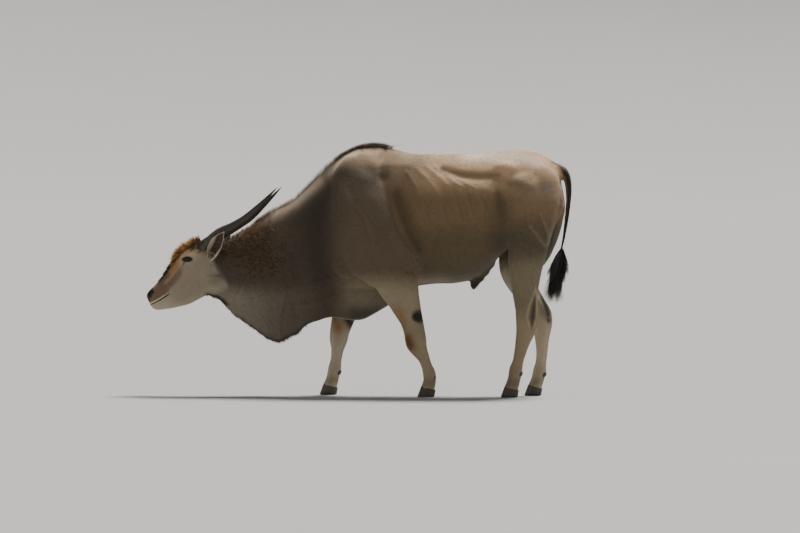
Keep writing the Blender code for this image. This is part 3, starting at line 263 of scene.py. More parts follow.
# Relief on both flanks: (points as (along, height), reach, rise)
RELIEF = (
    (
        ((-0.139, 1.47), (-0.095, 1.30), (-0.045, 1.18), (0.013, 1.07), (0.094, 0.958), (0.116, 0.90)),
        0.026,
        -0.010,
    ),
    (((-0.535, 1.38), (-0.550, 1.15), (-0.510, 0.945)), 0.070, -0.009),
    (((-0.380, 1.35), (-0.354, 1.11), (-0.347, 0.945)), 0.024, 0.004),
    (((-0.350, 1.40), (-0.312, 1.28), (-0.245, 1.18), (-0.198, 1.045)), 0.016, -0.0035),
    (((-0.147, 1.52), (-0.134, 1.47)), 0.034, -0.010),
    (((-0.136, 1.648), (-0.169, 1.561)), 0.016, -0.006),
    (((-0.110, 0.891), (-0.009, 0.871), (0.072, 0.837)), 0.014, -0.004),
    (((-0.396, 0.924), (-0.349, 0.871), (-0.335, 0.804)), 0.018, -0.004),
    (((0.082, 0.898), (0.089, 0.884)), 0.008, -0.004),
    (((0.070, 0.844), (0.097, 0.804)), 0.008, -0.004),
    (((0.266, 1.515), (0.387, 1.484), (0.522, 1.470), (0.640, 1.476)), 0.030, -0.018),
    (((0.345, 1.420), (0.490, 1.398), (0.620, 1.370)), 0.034, 0.010),
    (((0.690, 1.498), (0.705, 1.476)), 0.030, 0.010),
    (((0.790, 1.500), (0.860, 1.460)), 0.034, -0.007),
    (((0.638, 1.380), (0.624, 1.213), (0.658, 1.012)), 0.052, -0.016),
    (((0.622, 0.871), (0.663, 0.931), (0.696, 1.005)), 0.014, -0.008),
    (((0.702, 1.434), (0.729, 1.213), (0.742, 1.012)), 0.032, 0.006),
    (((0.935, 1.233), (0.962, 1.152), (0.982, 1.079)), 0.009, 0.004),
    (((0.862, 1.146), (0.909, 1.085), (0.953, 1.018)), 0.009, 0.004),
    (((1.040, 1.300), (1.000, 1.139), (0.967, 1.018)), 0.011, 0.004),
    (((0.764, 1.099), (0.824, 1.072), (0.892, 1.045)), 0.035, -0.008),
    (((0.900, 1.470), (0.930, 1.380), (0.930, 1.240)), 0.045, -0.007),
    (((0.085, 1.527), (0.173, 1.454), (0.261, 1.340), (0.300, 1.180)), 0.015, 0.0040),
    (((0.153, 1.541), (0.247, 1.474), (0.350, 1.370), (0.400, 1.200)), 0.015, 0.0048),
    (((0.213, 1.541), (0.321, 1.467), (0.430, 1.370), (0.480, 1.220)), 0.015, 0.0048),
    (((0.288, 1.510), (0.395, 1.455), (0.510, 1.375), (0.560, 1.260)), 0.015, 0.0048),
    (((0.025, 1.501), (0.092, 1.407), (0.153, 1.300), (0.190, 1.150)), 0.015, 0.0034),
    # folds of neck and dewlap
    (((-0.66, 1.22), (-0.70, 1.00), (-0.68, 0.80), (-0.645, 0.62)), 0.030, -0.003),
    (((-0.77, 1.02), (-0.80, 0.84), (-0.76, 0.66), (-0.72, 0.52)), 0.024, -0.0025),
    (((-0.87, 0.84), (-0.91, 0.68), (-0.89, 0.52)), 0.020, -0.002),
    (((-0.98, 0.76), (-1.03, 0.62), (-1.00, 0.50)), 0.018, -0.002),
    (((-0.80, 0.70), (-0.84, 0.56), (-0.85, 0.42)), 0.014, 0.003),
    (((-1.10, 0.74), (-1.15, 0.62), (-1.12, 0.54)), 0.014, -0.003),
    # tendons and joints of the legs
    (((0.110, 0.30), (0.150, 0.20)), 0.010, -0.003),
    (((0.060, 0.41), (0.050, 0.36)), 0.020, 0.003),
    (((0.79, 0.34), (0.765, 0.22)), 0.010, -0.003),
)
# Hollows of the hocks, on the left and on the right hind leg
HOCK_RELIEF = {
    -1: (
        (((0.873, 0.700), (0.878, 0.610), (0.874, 0.540)), 0.013, -0.012),
        (((0.862, 0.717), (0.836, 0.596), (0.826, 0.522), (0.850, 0.462)), 0.008, 0.003),
    ),
    1: (
        (((0.880, 0.705), (0.925, 0.610), (0.950, 0.540)), 0.014, -0.011),
        (((0.842, 0.717), (0.892, 0.596), (0.912, 0.522)), 0.010, 0.003),
    ),
}
# The block of shoulder and upper arm, seen from the side: it stands out from neck and ribs
SHOULDER_OUTLINE = (
    (-0.472, 1.45), (-0.405, 1.595), (-0.286, 1.629), (-0.166, 1.569), (-0.139, 1.447), (-0.095, 1.30),
    (-0.045, 1.18), (0.013, 1.072), (0.094, 0.958), (0.114, 0.90), (0.085, 0.85), (-0.05, 0.80),
    (-0.25, 0.78),
    (-0.36, 0.85), (-0.395, 0.925), (-0.442, 1.032), (-0.472, 1.18), (-0.472, 1.33),
)
# Relief on the head, in its own frame: (points as (along, off the middle, above), reach, rise)
HEAD_RELIEF = (
    (((0.200, 0.100, 0.175), (0.235, 0.108, 0.190), (0.285, 0.100, 0.172)), 0.016, 0.010),
    (((0.228, 0.100, 0.138), (0.258, 0.100, 0.122), (0.300, 0.090, 0.135)), 0.010, 0.004),
    (((0.290, 0.085, 0.085), (0.370, 0.070, 0.050), (0.430, 0.062, 0.030)), 0.016, 0.005),
    (((0.380, 0.064, 0.090), (0.470, 0.058, 0.070)), 0.022, -0.007),
    (((0.170, 0.100, 0.000), (0.250, 0.090, -0.050), (0.340, 0.070, -0.080)), 0.030, 0.006),
    (((0.300, 0.090, 0.112), (0.330, 0.080, 0.092), (0.352, 0.074, 0.080)), 0.007, -0.004),
    (((0.560, 0.0, 0.100), (0.610, 0.0, 0.084)), 0.018, -0.004),
    (((0.1255, 0.095, 0.045), (0.095, 0.095, 0.020), (0.115, 0.090, -0.057)), 0.009, -0.006),
    (((0.030, 0.090, 0.060), (0.075, 0.095, 0.0435), (0.106, 0.095, -0.057)), 0.009, -0.005),
)
# Finer forms of the muzzle, pressed once that part of the skin is fine enough
MUZZLE_RELIEF = (
    (((0.480, 0.056, 0.001), (0.515, 0.055, -0.0055), (0.550, 0.052, -0.0085)), 0.0046, -0.0080),
    (((0.550, 0.052, -0.0085), (0.600, 0.038, -0.0090), (0.616, 0.024, -0.008)), 0.0046, -0.0080),
    (((0.616, 0.024, -0.008), (0.622, 0.0, -0.006)), 0.0046, -0.0075),
    (
        ((0.480, 0.056, 0.014), (0.520, 0.055, 0.006), (0.560, 0.050, 0.002), (0.605, 0.036, 0.002)),
        0.007,
        0.0045,
    ),
    (((0.470, 0.050, -0.022), (0.540, 0.048, -0.034), (0.596, 0.024, -0.030)), 0.009, 0.0045),
    (((0.478, 0.056, 0.006), (0.470, 0.057, -0.004)), 0.006, -0.0035),
    (
        ((0.582, 0.042, 0.074), (0.598, 0.038, 0.062), (0.602, 0.036, 0.047), (0.590, 0.045, 0.036)),
        0.0055,
        -0.0140,
    ),
    (((0.568, 0.046, 0.086), (0.594, 0.042, 0.078), (0.612, 0.030, 0.060)), 0.0070, 0.0050),
    (((0.572, 0.050, 0.046), (0.586, 0.048, 0.026)), 0.0070, 0.0040),
    (((0.622, 0.0, 0.060), (0.624, 0.0, 0.018)), 0.0030, -0.0025),
)

# Horns, ears and eyes, in the head's own frame: (along the head, off the middle, above the axis)
HORN_ROOT = Vector((0.165, 0.046, 0.180))
HORN_TIP = Vector((-0.506, 0.128, 0.297))
HORN_SAG = 0.036
HORN_RADIUS = 0.034
HORN_TURNS = 1.4
KEEL_HEIGHT = 0.017
EAR_ROOT = Vector((0.126, 0.086, 0.074))
EAR_TIP = Vector((-0.047, 0.185, 0.192))
EAR_WIDTH = 0.044
EAR_HOLLOW = 0.016
EAR_WIDEST = 0.54
EYE_AT = Vector((0.258, 0.084, 0.148))
EYE_TILT = math.radians(-26)

# Hooves: two claws to a foot
SOLE_LENGTH = 0.112
CLAW_WIDTH = 0.043
CLEFT = 0.008
TOE_HEIGHT = 0.074
HEEL_HEIGHT = 0.046

# Colours of the coat, linear. Several are painted light or painted shade over the coat's own colours: the
# lit back and highlights, and shade on the sides, in hollows and below
# The back's own tawny colour, made lighter as painted top light
LIT_BACK = (0.470, 0.310, 0.185)
# RIBS, SHOULDER and NECK: the sides' own colours, made darker as painted shade
RIBS = (0.165, 0.110, 0.056)
# The belly's own colour, darkened as painted shade underneath
SHADED_BELLY = (0.085, 0.066, 0.038)
SHOULDER = (0.100, 0.074, 0.046)
NECK = (0.060, 0.046, 0.031)
RUFF = (0.085, 0.052, 0.027)
RUFF_PATCH = (0.300, 0.130, 0.040)
BRISKET = (0.180, 0.155, 0.105)
DEWLAP_GREY = (0.200, 0.172, 0.130)
CHEEK = (0.255, 0.215, 0.155)
MUZZLE = (0.165, 0.108, 0.064)
BROW = (0.440, 0.330, 0.205)
FORELOCK = (0.42, 0.20, 0.05)
BRIDGE = (0.030, 0.020, 0.012)
NOSE = (0.012, 0.010, 0.010)
LIPS = (0.40, 0.35, 0.26)
SHADED_THIGH = (0.088, 0.070, 0.042)
GASKIN = (0.180, 0.148, 0.090)
HIND_CANNON = (0.270, 0.210, 0.130)
FOREARM = (0.290, 0.235, 0.150)
FORE_CANNON = (0.360, 0.285, 0.175)
KNEE_PATCH = (0.14, 0.055, 0.020)
RUSTY = (0.260, 0.155, 0.075)
GARTER = (0.02, 0.016, 0.012)
TUFT_BLACK = (0.010, 0.008, 0.007)
LID_AND_SHADE = (0.035, 0.026, 0.020)
TAIL_ROOT = (0.060, 0.042, 0.030)
LOW_FLANK_SHADE = (0.085, 0.063, 0.034)
LOIN_HOLLOW_SHADE = (0.110, 0.072, 0.040)
RUMP_SHADE = (0.100, 0.076, 0.050)
ELBOW_SHADE = (0.045, 0.032, 0.018)
FLANK_HOLLOW_SHADE = (0.042, 0.032, 0.020)
LIT_WITHERS = (0.30, 0.20, 0.12)
SHOULDER_SHADE = (0.040, 0.030, 0.020)
SHOULDER_TOP_LIGHT = (0.46, 0.33, 0.21)
CREST_HIGHLIGHT = (0.66, 0.50, 0.34)
LOIN_HIGHLIGHT = (0.76, 0.60, 0.47)
GULLY_SHADE = (0.024, 0.019, 0.013)
NAPE_LIGHT = (0.50, 0.38, 0.27)
UNDERSIDE_SHADE = (0.035, 0.028, 0.021)
DEWLAP_EDGE = (0.045, 0.034, 0.026)
FAR_FORELEG_SHADE = (0.12, 0.105, 0.075)
INNER_LEG = (0.62, 0.54, 0.40)
GARTER_BARS = (0.17, 0.15, 0.13)
FETLOCK = (0.10, 0.075, 0.05)
HUMP_LINE = (0.055, 0.040, 0.029)
NECK_LINE = (0.05, 0.035, 0.025)
BACK_LINE = (0.12, 0.07, 0.04)
TAIL_COAT = (0.15, 0.10, 0.06)
HOCK_SHADE = (0.045, 0.034, 0.025)
HOCK_RIDGE_HIGHLIGHT = (0.38, 0.31, 0.21)
TENDON_HIGHLIGHT = (0.26, 0.21, 0.14)
SCAR = (0.20, 0.18, 0.17)
SHEATH_COAT = (0.032, 0.023, 0.017)
BEHIND_CHEEK = (0.045, 0.032, 0.022)
JAW_LINE = (0.055, 0.042, 0.030)
THROAT_SIDE = (0.105, 0.088, 0.064)
JAW_PALE = (0.60, 0.55, 0.43)
POLL = (0.10, 0.06, 0.03)
LIP_RIM = (0.60, 0.54, 0.42)
MOUTH_LINE_AND_SHADE = (0.020, 0.014, 0.012)
TEMPLE_SHADE = (0.150, 0.105, 0.060)
THROAT = (0.035, 0.027, 0.020)
EAR_TIP_DARK = (0.10, 0.07, 0.05)
EAR_INSIDE = (0.055, 0.032, 0.022)
EAR_RIM = (0.50, 0.44, 0.33)
EAR_FLOOR = (0.46, 0.40, 0.30)
EYE_RIM = (0.008, 0.005, 0.004)
PUPIL = (0.003, 0.003, 0.004)
HORN_BASE = (0.040, 0.031, 0.023)
HORN_RIDGE = (0.125, 0.103, 0.080)
HORN_GROOVE = (0.020, 0.016, 0.013)
HORN_END = (0.022, 0.018, 0.015)
EAR_BACK = (0.36, 0.30, 0.21)
EYE_WHITE = (0.035, 0.020, 0.013)
IRIS = (0.026, 0.011, 0.005)
HORN_BROWN = (0.046, 0.038, 0.030)
EAR_HAIR_PALE = (0.52, 0.46, 0.35)
EAR_HAIR_DARK = (0.16, 0.11, 0.07)
LASH = (0.014, 0.011, 0.010)

# Hair of each ear and eye, the faces of the coarse unwrap and the size of a tuft on the map
RIM_HAIRS = 620
HOLLOW_HAIRS = 700
LASHES = 90
UNWRAP_FACES = 9000
MAP_PATCH = 0.003

# Floor and camera
FLOOR_RADII = (4.0, 12.0, 40.0, 70.0)
FLOOR_RISE = 30.0
LENS = 302.2
SENSOR_WIDTH = 36
VIEW_END = 400
CAMERA_ASIDE = 0.0402


def smooth_rows(rows, steps):
    """Rows of numbers with more rows between them, on a Catmull-Rom curve through the given ones."""
    rows = np.array(rows, float)
    padded = np.vstack([2 * rows[0] - rows[1], rows, 2 * rows[-1] - rows[-2]])
    made = []
    for i in range(len(rows) - 1):
        a, b, c, d = padded[i : i + 4]
        for k in range(steps):
            t = k / steps
            curve = t * t * (a - 2.5 * b + 2 * c - 0.5 * d) + t**3 * (1.5 * (b - c) + 0.5 * (d - a))
            made.append(b + 0.5 * t * (c - a) + curve)
    made.append(rows[-1])
    return np.array(made)


def oval(count, half_width, up, down, fullness_up=2.0, fullness_down=2.0):
    """(side, height) round an oval whose upper and lower halves may differ, from the top."""
    points = []
    for k in range(count):
        side = math.sin(2 * math.pi * k / count)
        height = math.cos(2 * math.pi * k / count)
        fullness = fullness_up if height > 0 else fullness_down
        reach = up if height > 0 else down
        across = half_width * math.copysign(abs(side) ** (2 / fullness), side)
        points.append((across, reach * math.copysign(abs(height) ** (2 / fullness), height)))
    return points


def loft(bm, rings):
    """A closed form through rings of like count, added to the mesh."""
    loops = []
    made = []
    for k, points in enumerate(rings):
        cap = k in (0, len(rings) - 1)
        circle = bmesh.ops.create_circle(bm, cap_ends=cap, segments=len(points), radius=1.0)
        for vert, point in zip(circle["verts"], points):
            vert.co = point
        loops.append(list({edge for vert in circle["verts"] for edge in vert.link_edges}))
        if cap:
            made += circle["verts"][0].link_faces
    for one, two in zip(loops, loops[1:]):
        made += bmesh.ops.bridge_loops(bm, edges=one + two)["faces"]
    bmesh.ops.recalc_face_normals(bm, faces=made)
    return made


def tube_rings(rows, sides, side_sign=1.0):
    """Rings across a limb's path. A row is (along, height, off the middle, half depth, half width)."""
    middles = [Vector((row[0], side_sign * row[2], row[1])) for row in rows]
    rings = []
    for i, (middle, row) in enumerate(zip(middles, rows)):
        way = (middles[min(i + 1, len(rows) - 1)] - middles[max(i - 1, 0)]).normalized()
        fore = way.cross(Vector((0, 1, 0))).normalized()
        side = fore.cross(way).normalized()
        rings.append(
            [middle + fore * up + side * across for across, up in oval(sides, row[4], row[3], row[3])]
        )
    return rings


def head_matrix():
    """The head's own frame: x towards the lips, y to the animal's right, z to the brow."""
    along = Vector((-math.cos(HEAD_SLOPE), 0, -math.sin(HEAD_SLOPE)))
    brow = Vector((-math.sin(HEAD_SLOPE), 0, math.cos(HEAD_SLOPE)))
    turn = Matrix((along, Vector((0, 1, 0)), brow)).transposed().to_4x4()
    return Matrix.Translation(HEAD_BACK) @ turn


def on_head(point, side=1.0):
    return head_matrix() @ Vector((point[0], side * point[1], point[2]))


def in_head_frame(spots):
    matrix = head_matrix()
    return (spots - np.array(matrix.translation)) @ np.array(matrix.to_3x3())


def turned_with_head(ways):
    return ways @ np.array(head_matrix().to_3x3()).T


def from_head_frame(local):
    return turned_with_head(local) + np.array(head_matrix().translation)


def folded(local):
    """Both sides of the head laid on its right one."""
    return np.abs(local) * (0, 1, 0) + local * (1, 0, 1)


def evenly(tint, count):
    return np.tile(np.array(tint), (count, 1))


def between(one, two, share):
    return np.array(one) * (1 - share) + np.array(two) * share


def unit(ways, least=0.0):
    return ways / np.maximum(np.linalg.norm(ways, axis=1), least)[:, None]


def height_of(rows, along):
    """The second number of the rows, between them along the body."""
    return np.interp(along, [row[0] for row in rows], [row[1] for row in rows])


def linked(name, data):
    obj = bpy.data.objects.new(name, data)
    bpy.context.scene.collection.objects.link(obj)
    return obj


def object_of(bm, name):
    mesh = bpy.data.meshes.new(name)
    bm.to_mesh(mesh)
    bm.free()
    return linked(name, mesh)


def applied(obj):
    """The object with its modifiers made real."""
    graph = bpy.context.evaluated_depsgraph_get()
    mesh = bpy.data.meshes.new_from_object(obj.evaluated_get(graph))
    old = obj.data
    obj.modifiers.clear()
    obj.data = mesh
    bpy.data.meshes.remove(old)
    return obj


def rise(values, low, high):
    """0 below the low value, 1 above the high one and smooth between; low may be the larger."""
    share = np.clip((values - low) / (high - low), 0.0, 1.0)
    return share * share * (3 - 2 * share)


def nearness(spots, points, reach):
    """How near each spot is to a line of points, from 1 on it down to 0 a few reaches away."""
    best = np.full(len(spots), np.inf)
    for start, end in zip(points, points[1:]):
        start, end = np.array(start), np.array(end)
        way = end - start
        share = np.clip((spots - start) @ way / (way @ way), 0.0, 1.0)
        best = np.minimum(best, np.linalg.norm(spots - start - share[:, None] * way, axis=1))
    return np.exp(-((best / reach) ** 2))


def blot(spots, points):
    """Like nearness, along a line whose reach changes: its points are (along, height, reach)."""
    best = np.zeros(len(spots))
    for start, end in zip(points, points[1:]):
        start, end = np.array(start), np.array(end)
        way = (end - start)[:2]
        share = np.clip((spots - start[:2]) @ way / (way @ way), 0.0, 1.0)
        far = np.linalg.norm(spots - start[:2] - share[:, None] * way, axis=1)
        best = np.maximum(best, np.exp(-((far / (start[2] + (end[2] - start[2]) * share)) ** 2)))
    return best


def spots_of(mesh):
    spots = np.empty(len(mesh.vertices) * 3)
    mesh.vertices.foreach_get("co", spots)
    return spots.reshape(-1, 3)


def normals_of(mesh):
    normals = np.empty(len(mesh.vertices) * 3)
    mesh.vertex_normals.foreach_get("vector", normals)
    return normals.reshape(-1, 3)


def set_spots(mesh, spots):
    mesh.vertices.foreach_set("co", spots.ravel())
    mesh.update()


def press(mesh, strokes, on_the_head=False, side=0):
    """Raises or sinks the skin along strokes. Those with two numbers a point are seen from the side."""
    spots, normals = spots_of(mesh), normals_of(mesh)
    local = in_head_frame(spots) if on_the_head else spots
    move = np.zeros(len(spots))
    flank = np.clip(np.abs(normals[:, 1]) * 1.4, 0, 1)
    if side:
        flank = flank * (spots[:, 1] * side > 0)
    right = folded(local)
    for points, reach, height in strokes:
        if len(points[0]) == 2:
            move += height * nearness(local[:, [0, 2]], points, reach) * flank
        else:
            move += height * nearness(right, points, reach)
    set_spots(mesh, spots + normals * move[:, None])


def stand_out(mesh, outline, height, edge):
    """Raises the flanks inside an outline that is seen from the side, with a soft step along it."""
    spots, normals = spots_of(mesh), normals_of(mesh)
    flat = spots[:, [0, 2]]
    closed = smooth_rows((*outline, outline[0]), 4)
    inside = np.zeros(len(flat), bool)
    far = np.full(len(flat), np.inf)
    for one, two in zip(closed, closed[1:]):
        crosses = (one[1] > flat[:, 1]) != (two[1] > flat[:, 1])
        drop = two[1] - one[1] if two[1] != one[1] else 1e-9
        inside ^= crosses & (flat[:, 0] < one[0] + (two[0] - one[0]) * (flat[:, 1] - one[1]) / drop)
        way = two - one
        share = np.clip((flat - one) @ way / (way @ way), 0.0, 1.0)
        far = np.minimum(far, np.linalg.norm(flat - one - share[:, None] * way, axis=1))
    soft = edge * (1.0 + 1.6 * rise(spots[:, 2], 1.30, 1.50) + 3.0 * rise(spots[:, 0], -0.22, -0.40))
    step = rise(np.where(inside, far, -far) / soft, -1.0, 1.0) * rise(spots[:, 2], 0.80, 0.98)
    step *= np.clip(np.abs(normals[:, 1]) * 1.6, 0, 1)
    set_spots(mesh, spots + normals * (height * step)[:, None])


def relax(obj, shares, rounds):
    """Smooths the skin where the shares are above 0."""
    group = obj.vertex_groups.new(name="relax")
    for level in range(1, 9):
        chosen = np.flatnonzero(np.round(shares * 8) == level)
        if len(chosen):
            group.add(chosen.tolist(), level / 8, "REPLACE")
    smooth = obj.modifiers.new("relax", "SMOOTH")
    smooth.factor = 0.5
    smooth.iterations = rounds
    smooth.vertex_group = group.name
    applied(obj)
    obj.vertex_groups.clear()


def refine(obj, chosen):
    """Splits the faces of the skin whose middles are chosen."""
    bm = bmesh.new()
    bm.from_mesh(obj.data)
    middles = np.array([face.calc_center_median() for face in bm.faces])
    picked = set(np.flatnonzero(chosen(middles)).tolist())
    edges = list({edge for face in bm.faces if face.index in picked for edge in face.edges})
    bmesh.ops.subdivide_edges(bm, edges=edges, cuts=1, use_grid_fill=True)
    bm.to_mesh(obj.data)
    bm.free()
    obj.data.update()


def section_rings(rows, place):
    """Rings through upright sections, each point put in its place from (along, side, height)."""
    rings = []
    for along, top, low, half, wide_at, above, below in smooth_rows(rows, 3):
        section = oval(36, half, top - wide_at, wide_at - low, above, below)
        rings.append([place((along, side, wide_at + height)) for side, height in section])
    return rings


def clay(settings):
    """Trunk, dewlap, limbs, head and tail as overlapping closed forms, fused into one skin."""
    bm = bmesh.new()
    loft(bm, section_rings(TRUNK, Vector))
    rings = []
    for along, low, edge in smooth_rows(DEWLAP, 2):
        right = []
        for share in (0.0, 0.04, 0.15, 0.3, 0.5, 0.75, 1.0):
            half = edge * math.sqrt(min(1.0, share / 0.04)) + (DEWLAP_ROOT - edge) * share**2
            right.append((half, low + (DEWLAP_TOP - low) * share))
        left = [(-side, height) for side, height in reversed(right[1:])]
        rings.append([Vector((along, side, height)) for side, height in right + left])
    loft(bm, rings)
    loft(bm, section_rings(HEAD, on_head))
    for rows, side in LEGS:
        loft(bm, tube_rings(smooth_rows(rows, 3), 28, side))
    loft(bm, tube_rings(smooth_rows(TAIL, 3), 16))
    for side in (-1, 1):
        for along, off, height, radii, turn in MASSES:
            turned = Matrix.Rotation(math.radians(turn), 4, "Y")
            ball(bm, Matrix.Translation((along, side * off, height)) @ turned, radii)
        ball(bm, Matrix.Translation(on_head((0.116, 0.084, 0.070), side)), (0.036, 0.024, 0.034))
        ball(bm, Matrix.Translation(on_head((0.158, 0.045, 0.190), side)), (0.040, 0.038, 0.030))
    for along, height, radius in SHEATH:
        ball(bm, Matrix.Translation((along, 0, height)), (radius, radius, radius * 1.3))
    obj = object_of(bm, "skin")
    remesh = obj.modifiers.new("one skin", "REMESH")
    remesh.mode = "VOXEL"
    remesh.voxel_size = settings.voxel
    return applied(obj)


def ball(bm, place, radii):
    bmesh.ops.create_uvsphere(
        bm, u_segments=24, v_segments=14, radius=1.0, matrix=place @ Matrix.Diagonal((*radii, 1.0))
    )


def lids(mesh, settings):
    """Skin drawn over each eyeball, with an almond opening in it."""
    spots = spots_of(mesh)
    local = in_head_frame(spots)
    radius = settings.eye_radius
    along = local[:, 0] - EYE_AT.x
    above = local[:, 2] - EYE_AT.z
    across = np.abs(local[:, 1])
    lengthwise = along * math.cos(EYE_TILT) - above * math.sin(EYE_TILT)
    upright = along * math.sin(EYE_TILT) + above * math.cos(EYE_TILT)
    far = np.hypot(lengthwise, upright)
    half_height = np.where(
        upright > 0, settings.lid_opening_height * 0.52, settings.lid_opening_height * 0.48
    )
    edge = np.hypot(lengthwise / (settings.lid_opening_length / 2), upright / half_height) - 1
    cover = EYE_AT.y + np.sqrt(np.maximum((radius + 0.0032) ** 2 - far**2, 0.0))
    cover += (
        0.0016 * np.exp(-((edge - 0.12) / 0.12) ** 2)
        + 0.0020 * rise(upright, 0.0, 0.012) * np.exp(-(edge**2))
    )
    wide = 0.5 * (across + cover + np.sqrt((across - cover) ** 2 + 0.004**2))
    over = wide + (across - wide) * rise(far, radius * 1.05, radius * 1.9)
    crease = nearness(
        np.stack([lengthwise, upright], 1), ((-0.022, 0.012), (-0.008, 0.021), (0.012, 0.018)), 0.0032
    )
    over -= 0.0022 * crease
    sunk = EYE_AT.y + 0.004
    made = sunk + (over - sunk) * rise(edge, -0.10, 0.05)
    near = (far < radius * 1.9) & (across > 0.055) & (along > -0.08)
    local[near, 1] = (np.sign(local[:, 1]) * made)[near]
    set_spots(mesh, from_head_frame(local))


def foot_plane(rows, side):
    """Where a leg ends on its hoof: a plane that falls towards the heel."""
    slope = math.atan2(TOE_HEIGHT - HEEL_HEIGHT, SOLE_LENGTH)
    point = Vector((rows[-1][0], side * rows[-1][2], (TOE_HEIGHT + HEEL_HEIGHT) / 2))
    return point, Vector((math.sin(slope), 0, math.cos(slope)))


def trim_feet(obj, overlap):
    """Ends the skin of each leg just below the top of its hoof."""
    bm = bmesh.new()
    bm.from_mesh(obj.data)
    for rows, side in LEGS:
        point, normal = foot_plane(rows, side)
        foot = [v for v in bm.verts if v.co.z < 0.14 and (v.co - point).length < 0.16]
        edges = {edge for vert in foot for edge in vert.link_edges}
        faces = {face for vert in foot for face in vert.link_faces}
        bmesh.ops.bisect_plane(
            bm,
            geom=foot + list(edges) + list(faces),
            dist=1e-6,
            plane_co=point - normal * overlap,
            plane_no=normal,
            clear_inner=True,
        )
        rim = [edge for edge in bm.edges if edge.is_boundary]
        bmesh.ops.contextual_create(bm, geom=rim)
    bm.to_mesh(obj.data)
    bm.free()


def on_face(middles):
    """Faces in front of the ears."""
    local = in_head_frame(middles)
    return (local[:, 0] > 0.06) & (middles[:, 0] < -1.16) & (local[:, 2] > -0.17)


def near_detail(middles):
    """Faces round the eyes, the nostrils and the mouth."""
    local = in_head_frame(middles)
    right = folded(local)
    eyes = np.linalg.norm(right - np.array(EYE_AT), axis=1) < 0.050
    nose = (local[:, 0] > 0.530) & (local[:, 2] > -0.012)
    mouth = nearness(
        right, ((0.460, 0.056, 0.006), (0.520, 0.055, -0.006), (0.600, 0.040, -0.009)), 0.018
    ) > 0.35
    return eyes | nose | (mouth & (local[:, 0] > 0.40))


def make_skin(settings):
    obj = clay(settings)
    spots = spots_of(obj.data)
    relax(obj, np.where(spots[:, 0] < 1.045, 1.0, 0.25), settings.relax_rounds)
    spots = spots_of(obj.data)
    shares = (
        rise(spots[:, 2], 0.75, 1.05) * rise(spots[:, 0], -1.277, -1.20) * rise(spots[:, 0], 1.075, 1.045)
    )
    relax(obj, shares, settings.blend_rounds)
    stand_out(obj.data, SHOULDER_OUTLINE, 0.013, 0.016)
    press(obj.data, RELIEF)
    for side, strokes in HOCK_RELIEF.items():
        press(obj.data, strokes, side=side)
    thin_body(obj, settings.body_share)
    refine(obj, on_face)
    relax(obj, rise(-spots_of(obj.data)[:, 0], 1.16, 1.22), 3)
    press(obj.data, HEAD_RELIEF, on_the_head=True)
    refine(obj, near_detail)
    local = in_head_frame(spots_of(obj.data))
    relax(obj, rise(local[:, 0], 0.18, 0.22), 2)
    press(obj.data, MUZZLE_RELIEF, on_the_head=True)
    lids(obj.data, settings)
    unevenness(obj.data, settings.coat_depth)
    trim_feet(obj, 0.006)
    return obj


def thin_body(obj, share):
    """Fewer faces on trunk and limbs, where the skin is plain; the head keeps all of its own."""
    spots = spots_of(obj.data)
    body = obj.vertex_groups.new(name="body")
    weights = rise(spots[:, 0], -1.18, -1.10)
    for level in range(1, 5):
        chosen = np.flatnonzero(np.round(weights * 4) == level)
        body.add(chosen.tolist(), level / 4, "REPLACE")
    thin = obj.modifiers.new("thin out", "DECIMATE")
    thin.ratio = share
    thin.vertex_group = "body"
    thin.vertex_group_factor = 10.0
    applied(obj)
    obj.vertex_groups.clear()


def unevenness(mesh, depth):
    """The skin drawn in by the depth of the coat, with slight hollows and swellings."""
    spots, normals = spots_of(mesh), normals_of(mesh)
    broad = np.array([noise.noise(Vector(spot) * 9.0) for spot in spots])
    fine = np.array([noise.noise(Vector(spot) * 42.0) for spot in spots])
    trunk = rise(spots[:, 0], -1.25, -1.05) * rise(spots[:, 2], 0.25, 0.6)
    move = trunk * (0.0022 * broad + 0.0007 * fine - depth)
    set_spots(mesh, spots + normals * move[:, None])


def toward(colour, share, other):
    """Colours drawn towards another one by a share at each spot."""
    return colour + (np.array(other) - colour) * share[:, None]


class Paint:
    """Tints laid over one another, each by its share at each spot."""

    def __init__(self, base, count):
        self.colour = evenly(base, count)

    def lay(self, share, tint):
        self.colour = toward(self.colour, share, tint)


